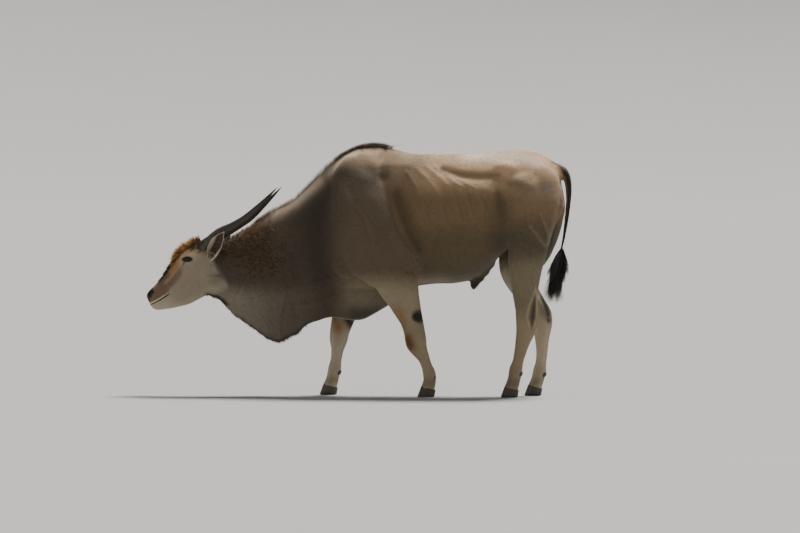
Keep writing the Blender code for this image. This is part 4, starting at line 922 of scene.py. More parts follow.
def coat_colour(spots, normals):
    """The coat's colour at each spot, the same for the skin and for the hair that grows there, with painted
    top light, highlights and shade laid in it.
    """
    x, y, z = spots.T
    flat = spots[:, [0, 2]]
    # The base is the flanks' own colour, darkened as painted shade of the sides
    paint = Paint(RIBS, len(spots))
    lay = paint.lay
    # Lower flank darker: painted shade
    lay(rise(z, 1.24, 1.02) * rise(x, -0.05, 0.12) * 0.85, LOW_FLANK_SHADE)
    # The top of the back and the side of the rump drawn lighter: painted top light over the back's own
    # colour
    lay(rise(z, 1.30, 1.54) * rise(x, 0.02, 0.22), LIT_BACK)
    lay(rise(x, 0.66, 0.90) * rise(z, 1.14, 1.36) * 0.22, LIT_BACK)
    # Painted shade in the hollow under the loin
    hollow = nearness(flat, ((0.27, 1.520), (0.39, 1.492), (0.52, 1.480), (0.64, 1.486)), 0.024)
    lay(hollow * 0.6, LOIN_HOLLOW_SHADE)
    rump = blot(flat, ((0.72, 1.43, 0.03), (0.84, 1.42, 0.05), (0.98, 1.40, 0.05)))
    lay(rump * 0.6, RUMP_SHADE)
    below = blot(flat, ((-0.04, 1.36, 0.04), (0.02, 1.20, 0.06), (0.06, 1.08, 0.05), (0.12, 0.97, 0.03)))
    lay(below * 0.7, ELBOW_SHADE)
    # Painted shade in the hollow of the flank before the thigh
    lay(blot(flat, ((0.64, 1.36, 0.02), (0.67, 1.22, 0.07), (0.68, 1.02, 0.06))) * 0.60, FLANK_HOLLOW_SHADE)
    # Belly darker: painted shade underneath, over its own colour
    lay(rise(z, 1.02, 0.86) * rise(x, -0.05, 0.10) * rise(x, 0.80, 0.62), SHADED_BELLY)
    behind = x - np.interp(
        z,
        (0.86, 0.90, 0.96, 1.07, 1.18, 1.30, 1.45, 1.60),
        (0.11, 0.11, 0.09, 0.01, -0.045, -0.095, -0.14, -0.06),
    )
    # The shoulder block's own grey, darkened as painted shade of the side
    lay(rise(behind, 0.055, -0.035), SHOULDER)
    # Top of the withers lighter: painted top light
    lay(rise(x, 0.10, -0.20) * rise(z, 1.48, 1.60) * 0.7, LIT_WITHERS)
    upper = blot(flat, ((-0.42, 1.49, 0.05), (-0.33, 1.50, 0.06), (-0.26, 1.42, 0.06)))
    lay(upper * 0.55, SHOULDER_SHADE)
    # Top of the shoulder lighter: painted top light
    over = rise(x, 0.14, 0.02) * rise(x, -0.38, -0.20) * rise(z, 1.53, 1.575)
    lay(over * 0.6, SHOULDER_TOP_LIGHT)
    # Painted highlight along the crest of the hump
    crest = nearness(flat, ((-0.52, 1.48), (-0.42, 1.60), (-0.31, 1.643), (-0.18, 1.645)), 0.026)
    lay(crest * 0.85, CREST_HIGHLIGHT)
    # Painted highlight along the loin and croup
    loin_highlight = nearness(flat, ((0.42, 1.605), (0.60, 1.605), (0.76, 1.60), (0.90, 1.56)), 0.040)
    lay(loin_highlight * 0.7, LOIN_HIGHLIGHT)
    # The neck's own grey, darkened as painted shade of the side
    lay(rise(x, -0.32, -0.62), NECK)
    # Painted shade in the gully before the shoulder
    gully_shade = blot(flat, ((-0.50, 1.38, 0.05), (-0.57, 1.18, 0.12), (-0.58, 0.98, 0.13), (-0.54, 0.80, 0.08)))
    lay(gully_shade * 0.65, GULLY_SHADE)
    # Top edge of the neck lighter: painted top light
    nape = nearness(flat, ((-1.06, 1.12), (-0.92, 1.20), (-0.74, 1.30), (-0.58, 1.44)), 0.040)
    lay(nape * 0.65, NAPE_LIGHT)
    lay(rise(x, -0.62, -0.92) * rise(z, 0.95, 1.10) * 0.20, RIBS)
    lay(rise(z, 0.86, 0.66) * rise(x, 0.06, -0.10) * rise(x, -0.50, -0.34) * 0.85, BRISKET)
    # Painted shade under the chest
    lay(rise(z, 0.64, 0.55) * rise(x, -0.46, -0.34) * 0.75, UNDERSIDE_SHADE)
    grey = rise(x, -0.50, -0.74) * 0.35 + rise(x, -0.72, -1.16) * 0.62
    lay(rise(z, 0.79, 0.62) * grey, DEWLAP_GREY)
    low = height_of(DEWLAP, x)
    lay(rise(z - low, 0.040, 0.006) * rise(x, -1.20, -1.05) * rise(x, -0.55, -0.66) * 0.8, DEWLAP_EDGE)
    # The thigh's own colour, darkened as painted shade
    lay(rise(x, 0.58, 0.72) * rise(z, 1.26, 1.05), SHADED_THIGH)
    lay(rise(x, 0.55, 0.66) * rise(z, 1.00, 0.84), GASKIN)
    lay(rise(x, 0.55, 0.66) * rise(z, 0.62, 0.48), HIND_CANNON)
    fore = (
        np.maximum(rise(x, -0.42, -0.22), rise(z, 0.63, 0.57) * rise(x, -0.62, -0.55)) * rise(x, 0.36, 0.26)
    )
    off = rise(np.abs(y), 0.085, 0.120)
    lay(fore * rise(z, 0.86, 0.66) * off, FOREARM)
    lay(fore * rise(z, 0.48, 0.34) * off, FORE_CANNON)
    # Far foreleg darker: painted shade
    lay(fore * rise(z, 0.80, 0.60) * rise(y, 0.085, 0.12) * 0.5, FAR_FORELEG_SHADE)
    inner = rise(-np.sign(y) * normals[:, 1], 0.15, 0.75) * rise(z, 0.95, 0.80) * off
    lay(inner * 0.45, INNER_LEG)
    near_side = rise(-y, 0.0, 0.06)
    far_side = rise(y, 0.0, 0.06)
    lay(nearness(flat, ((-0.03, 0.56), (-0.01, 0.48)), 0.045) * near_side, RUSTY)
    lay(nearness(flat, ((0.032, 0.390), (0.048, 0.345)), 0.040) * near_side, KNEE_PATCH)
    back_of_leg = np.hypot((x - 0.114) / 0.056, (z - 0.540) / 0.045)
    lay(rise(back_of_leg, 1.15, 0.70) * near_side, GARTER)
    for height in (0.470, 0.445, 0.418, 0.392):
        bar = nearness(flat, ((0.100, height + 0.006), (0.150, height)), 0.007) * near_side
        lay(bar * 0.45, GARTER_BARS)
    lay(nearness(flat, ((-0.50, 0.53), (-0.47, 0.45)), 0.040) * far_side, RUSTY)
    lay(nearness(flat, ((-0.405, 0.510), (-0.380, 0.470)), 0.036) * far_side, GARTER)
    fetlock = np.zeros(len(spots))
    for rows, side in LEGS:
        here = rise(side * y, 0.0, 0.05) * rise(np.hypot(x - rows[-2][0], 0.0), 0.13, 0.07)
        fetlock = np.maximum(fetlock, here * rise(z, 0.145, 0.105) * rise(z, 0.062, 0.080))
    lay(fetlock * 0.35, FETLOCK)
    ridge = rise(np.abs(y), 0.030, 0.010) * rise(normals[:, 2], 0.4, 0.8)
    hump = rise(np.abs(y), 0.040, 0.022) * rise(x, -0.52, -0.38) * rise(x, -0.02, -0.16) * rise(z, 1.5, 1.58)
    lay(hump * 0.85, HUMP_LINE)
    lay(ridge * rise(x, -1.05, -0.7) * rise(x, -0.35, -0.45) * 0.6, NECK_LINE)
    root = nearness(flat, ((0.985, 1.575), (1.030, 1.550), (1.060, 1.515)), 0.012)
    lay(root * 0.85, TAIL_ROOT)
    lay(ridge * rise(x, 0.0, 0.2) * rise(z, 1.5, 1.6) * 0.25, BACK_LINE)
    tail = rise(x, 1.040, 1.062)
    lay(tail * 0.8, TAIL_COAT)
    middle = np.interp(
        z, (0.93, 1.09, 1.20, 1.30, 1.39, 1.47, 1.53), (1.030, 1.062, 1.080, 1.092, 1.093, 1.078, 1.03)
    )
    lay(tail * rise(x - middle, -0.010, 0.002) * rise(z, 1.54, 1.49), GARTER)
    for points, here in (
        (
            ((0.886, 0.700, 0.006), (0.876, 0.610, 0.017), (0.868, 0.535, 0.025), (0.866, 0.465, 0.010)),
            near_side,
        ),
        (
            ((0.892, 0.705, 0.010), (0.916, 0.635, 0.028), (0.936, 0.570, 0.033), (0.952, 0.500, 0.015)),
            far_side,
        ),
    ):
        lay(blot(flat, points) * here * 0.85, HOCK_SHADE)
    # Pale lines on the near hock: painted highlights on its ridges
    for points in (
        ((0.890, 0.720), (0.846, 0.610), (0.830, 0.535), (0.848, 0.470)),
        ((0.893, 0.700), (0.897, 0.610), (0.893, 0.530), (0.872, 0.465)),
    ):
        lay(nearness(flat, points, 0.008) * near_side * 0.6, HOCK_RIDGE_HIGHLIGHT)
    # Pale lines on the near thigh's tendons: painted highlights
    for points in (
        ((0.935, 1.233), (0.962, 1.152), (0.982, 1.079)),
        ((0.862, 1.146), (0.909, 1.085), (0.953, 1.018)),
        ((1.040, 1.300), (1.000, 1.139), (0.967, 1.018)),
    ):
        lay(nearness(flat, points, 0.010) * near_side * 0.32, TENDON_HIGHLIGHT)
    scar = np.hypot((x - 0.975) / 0.040, (z - 1.405) / 0.034)
    lay(rise(scar, 1.3, 0.5) * near_side * 0.5, SCAR)
    lay(rise(x, 0.98, 1.02) * rise(z, 1.06, 0.99), TUFT_BLACK)
    sheath = nearness(flat, ((0.500, 0.770), (0.460, 0.735), (0.445, 0.730)), 0.034) * rise(x, 0.36, 0.42)
    lay(sheath * 0.9, SHEATH_COAT)
    head_colour(lay, spots)
    return paint.colour


def head_colour(lay, spots):
    """Face, ears' surroundings, throat and the curly patch behind the horns."""
    local = in_head_frame(spots)
    a, u = local[:, 0], local[:, 2]
    side = np.abs(local[:, 1])
    seen = local[:, [0, 2]]
    x, flat = spots[:, 0], spots[:, [0, 2]]
    curls = nearness(flat, ((-1.14, 1.06), (-1.05, 1.06), (-1.00, 0.96)), 0.115)
    lay(np.clip(curls * 1.2, 0, 1) * 0.85, RUFF)
    patch = nearness(flat, ((-1.130, 1.13), (-1.060, 1.15)), 0.050)
    lay(patch * 0.8, RUFF_PATCH)
    face = rise(a, 0.078, 0.118) * rise(x, -1.10, -1.20)
    face = face * rise(u, -0.165, -0.125)
    lay(face, CHEEK)
    behind = nearness(seen, ((0.020, 0.150), (0.045, 0.070), (0.0755, 0.0435)), 0.030)
    lay(behind * rise(x, -1.02, -1.10), BEHIND_CHEEK)
    line = blot(
        seen,
        ((0.050, 0.100, 0.022), (0.0755, 0.0435, 0.018), (0.092, -0.010, 0.016), (0.100, -0.080, 0.012))
    )
    lay(line * rise(side, 0.03, 0.06) * 0.6, JAW_LINE)
    back = face * rise(a, 0.235, 0.130) * rise(u, 0.010, -0.060)
    lay(back * 0.65, THROAT_SIDE)
    jaw = face * rise(u, -0.060, -0.110)
    lay(jaw * 0.12, JAW_PALE)
    brow = nearness(seen, ((0.235, 0.205), (0.300, 0.185), (0.180, 0.160)), 0.035)
    lay(brow * face, BROW)
    lip = u - np.interp(a, (0.44, 0.49, 0.55, 0.60, 0.63), (0.014, -0.003, -0.0085, -0.0090, -0.006))
    snout = (
        rise(a, 0.290, 0.355)
        * rise(u - (0.085 - 0.50 * (a - 0.33)), -0.030, 0.025)
        * rise(lip, 0.010, 0.020)
    )
    lay(snout, MUZZLE)
    streak = nearness(seen, ((0.305, 0.150), (0.380, 0.110), (0.470, 0.075)), 0.010)
    lay(streak * 0.35, BROW)
    bridge = nearness(local, ((0.385, 0.0, 0.172), (0.440, 0.0, 0.148), (0.500, 0.0, 0.125)), 0.034)
    lay(np.clip(bridge * 1.7, 0, 1), BRIDGE)
    bridge = nearness(local, ((0.500, 0.0, 0.122), (0.570, 0.0, 0.100)), 0.022)
    lay(bridge * 0.75, BRIDGE)
    crown = (
        rise(a, 0.135, 0.165) * rise(a, 0.360, 0.330) * rise(side - 0.075 + 0.12 * (a - 0.16), 0.014, -0.010)
    )
    lay(crown * rise(u, 0.165, 0.195), FORELOCK)
    poll = rise(a, 0.175, 0.135) * rise(a, 0.02, 0.06) * rise(u, 0.13, 0.17)
    lay(poll * 0.8, POLL)
    lay(rise(a, 0.420, 0.560) * rise(lip, 0.014, 0.008) * 0.8, LIPS)
    lay(rise(a, 0.480, 0.550) * rise(np.abs(lip - 0.010), 0.007, 0.002) * 0.5, LIP_RIM)
    # The dark edge of the lips, widened towards the rear by painted shade in the mouth's crease
    line = rise(np.abs(lip), 0.0062 - 0.0014 * rise(a, 0.50, 0.60), 0.0018) * rise(a, 0.464, 0.494)
    lay(line, MOUTH_LINE_AND_SHADE)
    rusty = nearness(seen, ((0.395, 0.128), (0.350, 0.155), (0.315, 0.176)), 0.022)
    lay(rusty * 0.6 * face, FORELOCK)
    # Painted shade under the horn's base
    shade = nearness(seen, ((0.110, 0.140), (0.150, 0.165)), 0.026)
    lay(shade * 0.6 * face, TEMPLE_SHADE)
    lay(nose_share(local), NOSE)
    # Dark lid skin round the eye, with painted shade under the brow and in the eye's front corner
    along, up = a - EYE_AT.x, u - EYE_AT.z
    lengthwise = along * math.cos(EYE_TILT) - up * math.sin(EYE_TILT)
    upright = along * math.sin(EYE_TILT) + up * math.cos(EYE_TILT)
    almond = np.hypot(lengthwise / 0.037, (upright - 0.0005) / 0.0175)
    lay(rise(almond, 1.22, 0.92) * rise(side, 0.04, 0.07), LID_AND_SHADE)
    tear = nearness(seen, ((0.285, 0.138), (0.300, 0.128)), 0.008)
    lay(tear * 0.6 * rise(side, 0.03, 0.05), LID_AND_SHADE)
    throat = nearness(flat, ((-1.335, 0.668), (-1.285, 0.652), (-1.235, 0.625)), 0.022)
    lay(throat, THROAT)


def nose_share(local):
    """How much each spot of the head belongs to the bare nose."""
    a, side, u = local[:, 0], np.abs(local[:, 1]), local[:, 2]
    front = rise(a - 0.45 * np.maximum(0.045 - u, 0.0), 0.556, 0.570) * rise(u, 0.002, 0.012)
    return front * rise(side - 0.050 + 0.30 * np.abs(u - 0.060), 0.012, 0.000)


def lie_at(spots, normals):
    """The way that the short coat lies."""
    x, y, z = spots.T
    lie = np.tile(np.array((0.85, 0.0, -0.42)), (len(spots), 1))
    down = np.maximum(rise(z, 0.80, 0.62) * rise(np.abs(y), 0.06, 0.10), rise(x, 1.03, 1.06))
    lie = toward(lie, down, (0.05, 0.0, -1.0))
    face = rise(x, -1.12, -1.26)
    lie = toward(lie, face, (0.86, 0.0, 0.36))
    lie = lie - normals * np.sum(lie * normals, axis=1)[:, None]
    return unit(lie, 1e-6)


def dye(mesh, colours, upright=None, wet=None):
    """Writes the coat's colour on a mesh, with the share of hair that hangs straight down."""
    layer = mesh.color_attributes.new("coat", "FLOAT_COLOR", "POINT")
    upright = np.zeros(len(colours)) if upright is None else upright
    layer.data.foreach_set("color", np.column_stack([colours, upright]).ravel())
    if wet is not None:
        mesh.attributes.new("wet", "FLOAT", "POINT").data.foreach_set("value", wet)


class Wire:
    """A socket's value in an expression: each operator adds its Math node."""

    def __init__(self, tree, socket):
        self.tree = tree
        self.socket = socket

    def math(self, operation, other, swapped=False):
        node = self.tree.nodes.new("ShaderNodeMath")
        node.operation = operation
        for slot, value in zip(node.inputs, (other, self) if swapped else (self, other)):
            plug(self.tree, slot, value)
        return Wire(self.tree, node.outputs[0])

    def __add__(self, other):
        return self.math("ADD", other)

    def __radd__(self, other):
        return self.math("ADD", other)

    def __sub__(self, other):
        return self.math("SUBTRACT", other)

    def __rsub__(self, other):
        return self.math("SUBTRACT", other, swapped=True)

    def __mul__(self, other):
        return self.math("MULTIPLY", other)

    def __rmul__(self, other):
        return self.math("MULTIPLY", other)

    def __truediv__(self, other):
        return self.math("DIVIDE", other)

    def __rtruediv__(self, other):
        return self.math("DIVIDE", other, swapped=True)


def plug(tree, slot, value):
    """Links a wire to a socket, or sets the socket's own value."""
    if isinstance(value, Wire):
        tree.links.new(value.socket, slot)
    elif isinstance(value, tuple) and slot.type == "RGBA":
        slot.default_value = (*value, 1.0)
    else:
        slot.default_value = value


class Finish:
    """A material and the nodes that feed its shader."""

    def __init__(self, name, **values):
        self.material = bpy.data.materials.new(name)
        self.material.use_nodes = True
        self.tree = self.material.node_tree
        self.shader = self.tree.nodes["Principled BSDF"]
        self.set(**values)

    def set(self, **values):
        for key, value in values.items():
            plug(self.tree, self.shader.inputs[key.replace("_", " ").title().replace("Ior", "IOR")], value)

    def node(self, kind, settings=None, values=None, output=0):
        made = self.tree.nodes.new(kind)
        for key, value in (settings or {}).items():
            setattr(made, key, value)
        for key, value in (values or {}).items():
            plug(self.tree, made.inputs[key], value)
        return Wire(self.tree, made.outputs[output])

    def attribute(self, name, output):
        return self.node("ShaderNodeAttribute", {"attribute_name": name}, output=output)

    def tint(self, colour, tone):
        """The base colour, made lighter and darker by a number."""
        self.set(base_color=self.mix(1.0, colour, self.grey(tone), "MULTIPLY"))

    def places(self, scale=(1.0, 1.0, 1.0)):
        """The piece's own coordinates, stretched by a scale for each axis."""
        spots = self.node("ShaderNodeTexCoord", output="Object")
        return self.node("ShaderNodeMapping", values={"Vector": spots, "Scale": scale})

    def speckle(self, scale, places, detail=3.0, roughness=0.55):
        values = {"Vector": places, "Scale": scale, "Detail": detail, "Roughness": roughness}
        return self.node("ShaderNodeTexNoise", values=values)

    def mix(self, share, one, two, kind="MIX"):
        settings = {"data_type": "RGBA", "blend_type": kind}
        return self.node("ShaderNodeMix", settings, {0: share, 6: one, 7: two}, output=2)

    def grey(self, value):
        """A number as a colour, to multiply another one by."""
        return self.node("ShaderNodeCombineColor", values={0: value, 1: value, 2: value})

    def bump(self, height, strength, distance):
        values = {"Height": height, "Strength": strength, "Distance": distance}
        self.set(Normal=self.node("ShaderNodeBump", values=values))


def skin_finish():
    """Short flat hair: streaks along its lie over the coat's colour, which holds painted light and shade,
    and a wet gloss on the nose.
    """
    finish = Finish("short coat", sheen_weight=0.18, sheen_roughness=0.45, specular_ior_level=0.25)
    coat = finish.attribute("coat", "Color")
    upright = finish.attribute("coat", "Alpha")
    wet = finish.attribute("wet", "Fac")
    backwards = finish.speckle(1.0, finish.places((55.0, 330.0, 190.0)))
    downwards = finish.speckle(1.0, finish.places((300.0, 300.0, 50.0)))
    streaks = backwards + (downwards - backwards) * upright
    clouds = finish.speckle(5.5, finish.places(), detail=5.0)
    dust = finish.speckle(38.0, finish.places(), detail=4.0)
    tone = (0.74 + streaks * 0.52) * (0.84 + clouds * 0.32) * (0.93 + dust * 0.14)
    tone = tone + (1.0 - tone) * wet
    finish.tint(coat, tone)
    grain = finish.node(
        "ShaderNodeTexVoronoi", {"feature": "DISTANCE_TO_EDGE"}, {"Vector": finish.places(), "Scale": 330.0}
    )
    finish.set(roughness=0.80 - wet * 0.46 - dust * 0.05)
    finish.bump(streaks * (1.0 - wet) + dust * 0.15 + grain * wet * 1.4, 0.45, 0.0016)
    return finish.material


def hair_finish(name, roughness=0.55, contrast=0.30):
    """Locks of hair, dyed from root to tip, with fine lengthwise variation."""
    finish = Finish(
        name, roughness=roughness, sheen_weight=0.12, sheen_roughness=0.4, specular_ior_level=0.3
    )
    coat = finish.attribute("coat", "Color")
    fine = finish.speckle(420.0, finish.places(), detail=2.0)
    tone = (1.0 - contrast / 2) + fine * contrast
    finish.tint(coat, tone)
    finish.bump(fine, 0.35, 0.0008)
    return finish.material


def settled(obj, material, nodes=()):
    """A finished piece: moved to the solids' place, smooth, with its finish, riding on the one body."""
    obj.data.transform(Matrix.Translation(SETTLE))
    obj.data.polygons.foreach_set("use_smooth", [True] * len(obj.data.polygons))
    obj.data.materials.clear()
    obj.data.materials.append(material)
    obj.data.update()
    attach(obj, BODY)
    if nodes:
        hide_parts(*nodes)
    return obj


class Ground:
    """The skin as hair finds it: roots, normals and places on its unwrap."""

    def __init__(self, obj):
        mesh = obj.data
        mesh.calc_loop_triangles()
        corners = np.empty(len(mesh.loop_triangles) * 3, np.int64)
        mesh.loop_triangles.foreach_get("vertices", corners)
        self.corners = corners.reshape(-1, 3)
        self.spots = spots_of(mesh)
        self.normals = normals_of(mesh)
        a, b, c = (self.spots[self.corners[:, k]] for k in range(3))
        self.areas = np.linalg.norm(np.cross(b - a, c - a), axis=1) / 2
        self.middles = (a + b + c) / 3
        self.unwrap(obj)

    def unwrap(self, obj):
        """A coarse copy of the skin, unwrapped, gives every root its place on the map."""
        copy = linked("unwrap", obj.data.copy())
        thin = copy.modifiers.new("thin out", "DECIMATE")
        thin.ratio = UNWRAP_FACES / len(self.corners)
        thin.use_collapse_triangulate = True
        applied(copy)
        bpy.ops.object.select_all(action="DESELECT")
        copy.select_set(True)
        bpy.context.view_layer.objects.active = copy
        bpy.ops.object.mode_set(mode="EDIT")
        bpy.ops.mesh.select_all(action="SELECT")
        bpy.ops.uv.smart_project(angle_limit=math.radians(66), island_margin=0.004)
        bpy.ops.object.mode_set(mode="OBJECT")
        mesh = copy.data
        self.tree = BVHTree.FromPolygons([v.co for v in mesh.vertices], [p.vertices for p in mesh.polygons])
        maps = np.empty(len(mesh.loops) * 2)
        mesh.uv_layers.active.data.foreach_get("uv", maps)
        self.maps = maps.reshape(-1, 3, 2)
        coarse = spots_of(mesh)
        self.faces = coarse[np.array([tuple(p.vertices) for p in mesh.polygons])]
        bpy.data.objects.remove(copy)
        bpy.data.meshes.remove(mesh)

    def map_places(self, roots):
        faces = np.array([self.tree.find_nearest(Vector(root))[2] for root in roots])
        a, b, c = (self.faces[faces, k] for k in range(3))
        normal = np.cross(b - a, c - a)
        size = np.maximum(np.sum(normal * normal, axis=1), 1e-18)
        for_b = np.sum(np.cross(roots - a, c - a) * normal, axis=1) / size
        for_c = np.sum(np.cross(b - a, roots - a) * normal, axis=1) / size
        shares = np.clip(np.column_stack([1 - for_b - for_c, for_b, for_c]), 0.0, 1.0)
        shares /= shares.sum(axis=1)[:, None]
        return np.einsum("nk,nkd->nd", shares, self.maps[faces])

    def scatter(self, draw, count, weights):
        """Roots drawn over the skin, more of them where the weight is high."""
        odds = self.areas * weights(self.middles)
        chosen = draw.choice(len(odds), size=count, p=odds / odds.sum())
        shares = draw.dirichlet((1.0, 1.0, 1.0), size=count)
        roots = np.einsum("nk,nkd->nd", shares, self.spots[self.corners[chosen]])
        normals = np.einsum("nk,nkd->nd", shares, self.normals[self.corners[chosen]])
        return roots, unit(normals)


class Coat:
    """Many tapered locks in one mesh, with a colour at every point and a place on the skin's map."""

    def __init__(self, stations):
        self.stations = stations
        self.parts = []

    def grow(
        self, roots, normals, lies, lengths, widths, lifts, droop, root_colours, tip_colours, maps, **more
    ):
        """Adds locks. Each leaves the skin, bends back along its lie and droops or curls on its way."""
        count = len(roots)
        lies = lies - normals * np.sum(lies * normals, axis=1)[:, None]
        lies = unit(lies, 1e-6)
        across = np.cross(lies, normals)
        curl = more.get("curl", np.zeros(count))
        phase = more.get("phase", np.zeros(count))
        waves = more.get("waves", 1.2)
        flatness = more.get("flatness", 0.35)
        sink = more.get("sink", 0.004)
        taper = more.get("taper", 0.30)
        blend = more.get("blend", 1.0)
        points, colours = [], []
        for share in self.stations:
            middle = roots - normals * sink + lies * (lengths * share)[:, None]
            middle = middle + normals * (
                sink * share + lifts * math.sin(math.pi / 2 * min(1.0, share * 1.15))
            )[:, None]
            middle[:, 2] -= droop * share**2
            sway = curl * np.sin(2 * math.pi * waves * share + phase) * share
            middle = middle + across * sway[:, None]
            middle = middle + normals * (
                curl * 0.6 * np.cos(2 * math.pi * waves * share + phase) * share
            )[:, None]
            full = (1 - share) ** 0.75 * (taper + (1 - taper) * math.sin(math.pi * min(1.0, 0.25 + share)))
            half = widths / 2 * (full if share < 1.0 else 0.0)
            tint = root_colours + (tip_colours - root_colours) * share**blend
            if share == 1.0:
                points.append(middle[:, None])
                colours.append(tint[:, None])
                continue
            ring = [
                middle
                + across * (half * math.cos(angle))[:, None]
                + normals * (half * flatness * math.sin(angle))[:, None]
                for angle in (math.pi / 2, math.pi * 7 / 6, math.pi * 11 / 6)
            ]
            points.append(np.stack(ring, axis=1))
            colours.append(np.repeat(tint[:, None], 3, axis=1))
        self.parts.append((np.concatenate(points, axis=1), np.concatenate(colours, axis=1), maps))

    def piece(self, name):
        points = np.concatenate([part[0] for part in self.parts])
        colours = np.concatenate([part[1] for part in self.parts])
        maps = np.concatenate([part[2] for part in self.parts])
        count, each = points.shape[:2]
        rings = (each - 1) // 3
        faces = [(0, 2, 1)]
        for level in range(rings - 1):
            for k in range(3):
                one, two = level * 3 + k, level * 3 + (k + 1) % 3
                faces += [(one, two, two + 3), (one, two + 3, one + 3)]
        for k in range(3):
            faces.append((each - 4 + k, each - 4 + (k + 1) % 3, each - 1))
        faces = np.array(faces)
        corners = (faces[None] + (np.arange(count) * each)[:, None, None]).reshape(-1)
        mesh = bpy.data.meshes.new(name)
        mesh.vertices.add(count * each)
        mesh.vertices.foreach_set("co", points.ravel())
        mesh.loops.add(len(corners))
        mesh.loops.foreach_set("vertex_index", corners)
        mesh.polygons.add(len(corners) // 3)
        mesh.polygons.foreach_set("loop_start", np.arange(0, len(corners), 3))
        mesh.update(calc_edges=True)
        dye(mesh, colours.reshape(-1, 3))
        spread = np.array([[0.5 * (k % 3), k / (each - 1)] for k in range(each)]) - 0.5
        places = maps[:, None] + spread[None] * MAP_PATCH
        layer = mesh.uv_layers.new(name="OFBake")
        layer.data.foreach_set("uv", places.reshape(-1, 2)[corners].ravel())
        return linked(name, mesh)


def varied(draw, colours, amount):
    return colours * (1 + amount * draw.standard_normal((len(colours), 1))).clip(0.4, 1.8)


def clear_of_bare(middles):
    """1 where short hair grows: not on the nose, the lips' edge, the eyes or the ends of the legs."""
    local = in_head_frame(middles)
    right = folded(local)
    eyes = np.linalg.norm(right - np.array(EYE_AT), axis=1) > 0.034
    nose = nose_share(local) < 0.05
    lips = nearness(
        right, ((0.480, 0.055, 0.001), (0.530, 0.055, -0.008), (0.612, 0.026, -0.008)), 0.009
    ) < 0.3
    feet = middles[:, 2] > 0.085
    return (eyes & nose & lips & feet).astype(float)


def short_coat(ground, draw, region, name, count, length, width):
    """Short flat hair over one region of the skin."""
    roots, normals = ground.scatter(draw, count, lambda middles: region(middles) * clear_of_bare(middles))
    lies = lie_at(roots, normals) + draw.normal(0.0, 0.035, (count, 3))
    colours = coat_colour(roots, normals)
    lengths = length * draw.uniform(0.7, 1.2, count)
    tips = varied(draw, colours, 0.04) * 1.04
    coat = Coat((0.0, 0.45, 1.0))
    coat.grow(
        roots,
        normals,
        lies,
        lengths,
        width * draw.uniform(0.7, 1.2, count),
        length * 0.05 * draw.uniform(0.6, 1.5, count),
        np.zeros(count),
        colours,
        tips,
        ground.map_places(roots),
        sink=0.0010,
        flatness=0.12,
    )
    return coat.piece(name)


def make_short_coat(ground, draw, settings):
    """The flat coat of trunk, neck, limbs and face, each a piece of its own."""

    def flank(side):
        return lambda m: (
            rise(side * m[:, 1], -0.01, 0.01) * rise(m[:, 2], 0.45, 0.6) * rise(m[:, 0], -0.62, -0.5)
        )

    def neck(m):
        return rise(m[:, 0], -0.5, -0.62) * rise(in_head_frame(m)[:, 0], 0.12, 0.04)

    def limbs(m):
        return rise(m[:, 2], 0.62, 0.46) * rise(m[:, 0], -0.60, -0.55) + 0.6 * rise(m[:, 0], 1.03, 1.06)

    def face(m):
        return rise(in_head_frame(m)[:, 0], 0.04, 0.12) * rise(m[:, 0], -1.10, -1.2)

    count = settings.short_tufts
    plans = (
        ("left_flank_coat", flank(-1), 1.0, 0.021, 0.0040),
        ("right_flank_coat", flank(1), 1.0, 0.021, 0.0040),
        ("neck_coat", neck, 1.0, 0.020, 0.0036),
        ("limb_coat", limbs, 0.90, 0.013, 0.0026),
        ("face_coat", face, 0.70, 0.0080, 0.0017),
    )
    return [
        short_coat(ground, draw, region, name, int(count * share), length, width)
        for name, region, share, length, width in plans
    ]


def clumped(ground, draw, weights, clumps, hairs, spread):
    """Roots in clumps, so that the hairs of a lock share their lie."""
    centres, normals = ground.scatter(draw, clumps, weights)
    owner = np.repeat(np.arange(clumps), hairs)
    loose = draw.normal(0.0, spread, (len(owner), 3))
    loose -= normals[owner] * np.sum(loose * normals[owner], axis=1)[:, None]
    return centres[owner] + loose, normals[owner], owner, loose


def band(coat, ground, draw, weights, clumps, hairs, spread, lie, length, width, lift, colours, **more):
    """A stretch of long hair in locks whose tips draw together."""
    roots, normals, owner, loose = clumped(ground, draw, weights, clumps, hairs, spread)
    count = len(roots)
    sway = draw.normal(0.0, more.pop("sway", 0.18), (clumps, 3))[owner]
    lengths = length * draw.uniform(0.75, 1.2, clumps)[owner] * draw.uniform(0.85, 1.1, count)
    lies = (
        lie(roots, normals)
        + sway
        + draw.normal(0.0, 0.05, (count, 3))
        - loose / length * more.pop("gather", 0.8)
    )
    root_tint, tip_tint = colours(roots, normals)
    tone = (1 + 0.16 * draw.standard_normal((clumps, 1))).clip(0.6, 1.5)[owner]
    coat.grow(
        roots,
        normals,
        lies,
        lengths,
        width * draw.uniform(0.7, 1.2, count),
        lift * draw.uniform(0.7, 1.25, clumps)[owner],
        more.pop("droop", 0.0) * np.ones(count),
        varied(draw, root_tint, 0.08),
        varied(draw, tip_tint, 0.12) * tone,
        ground.map_places(roots),
        curl=more.pop("curl", 0.0) * draw.uniform(0.5, 1.3, clumps)[owner],
        phase=draw.uniform(0, 6.28, clumps)[owner],
        **more,
    )


def steady(vector):
    return lambda roots, normals: np.tile(np.array(vector, float), (len(roots), 1))


def two_tints(root, tip):
    return lambda roots, normals: (evenly(root, len(roots)), evenly(tip, len(roots)))


def head_way(vector):
    return tuple(head_matrix().to_3x3() @ Vector(vector))


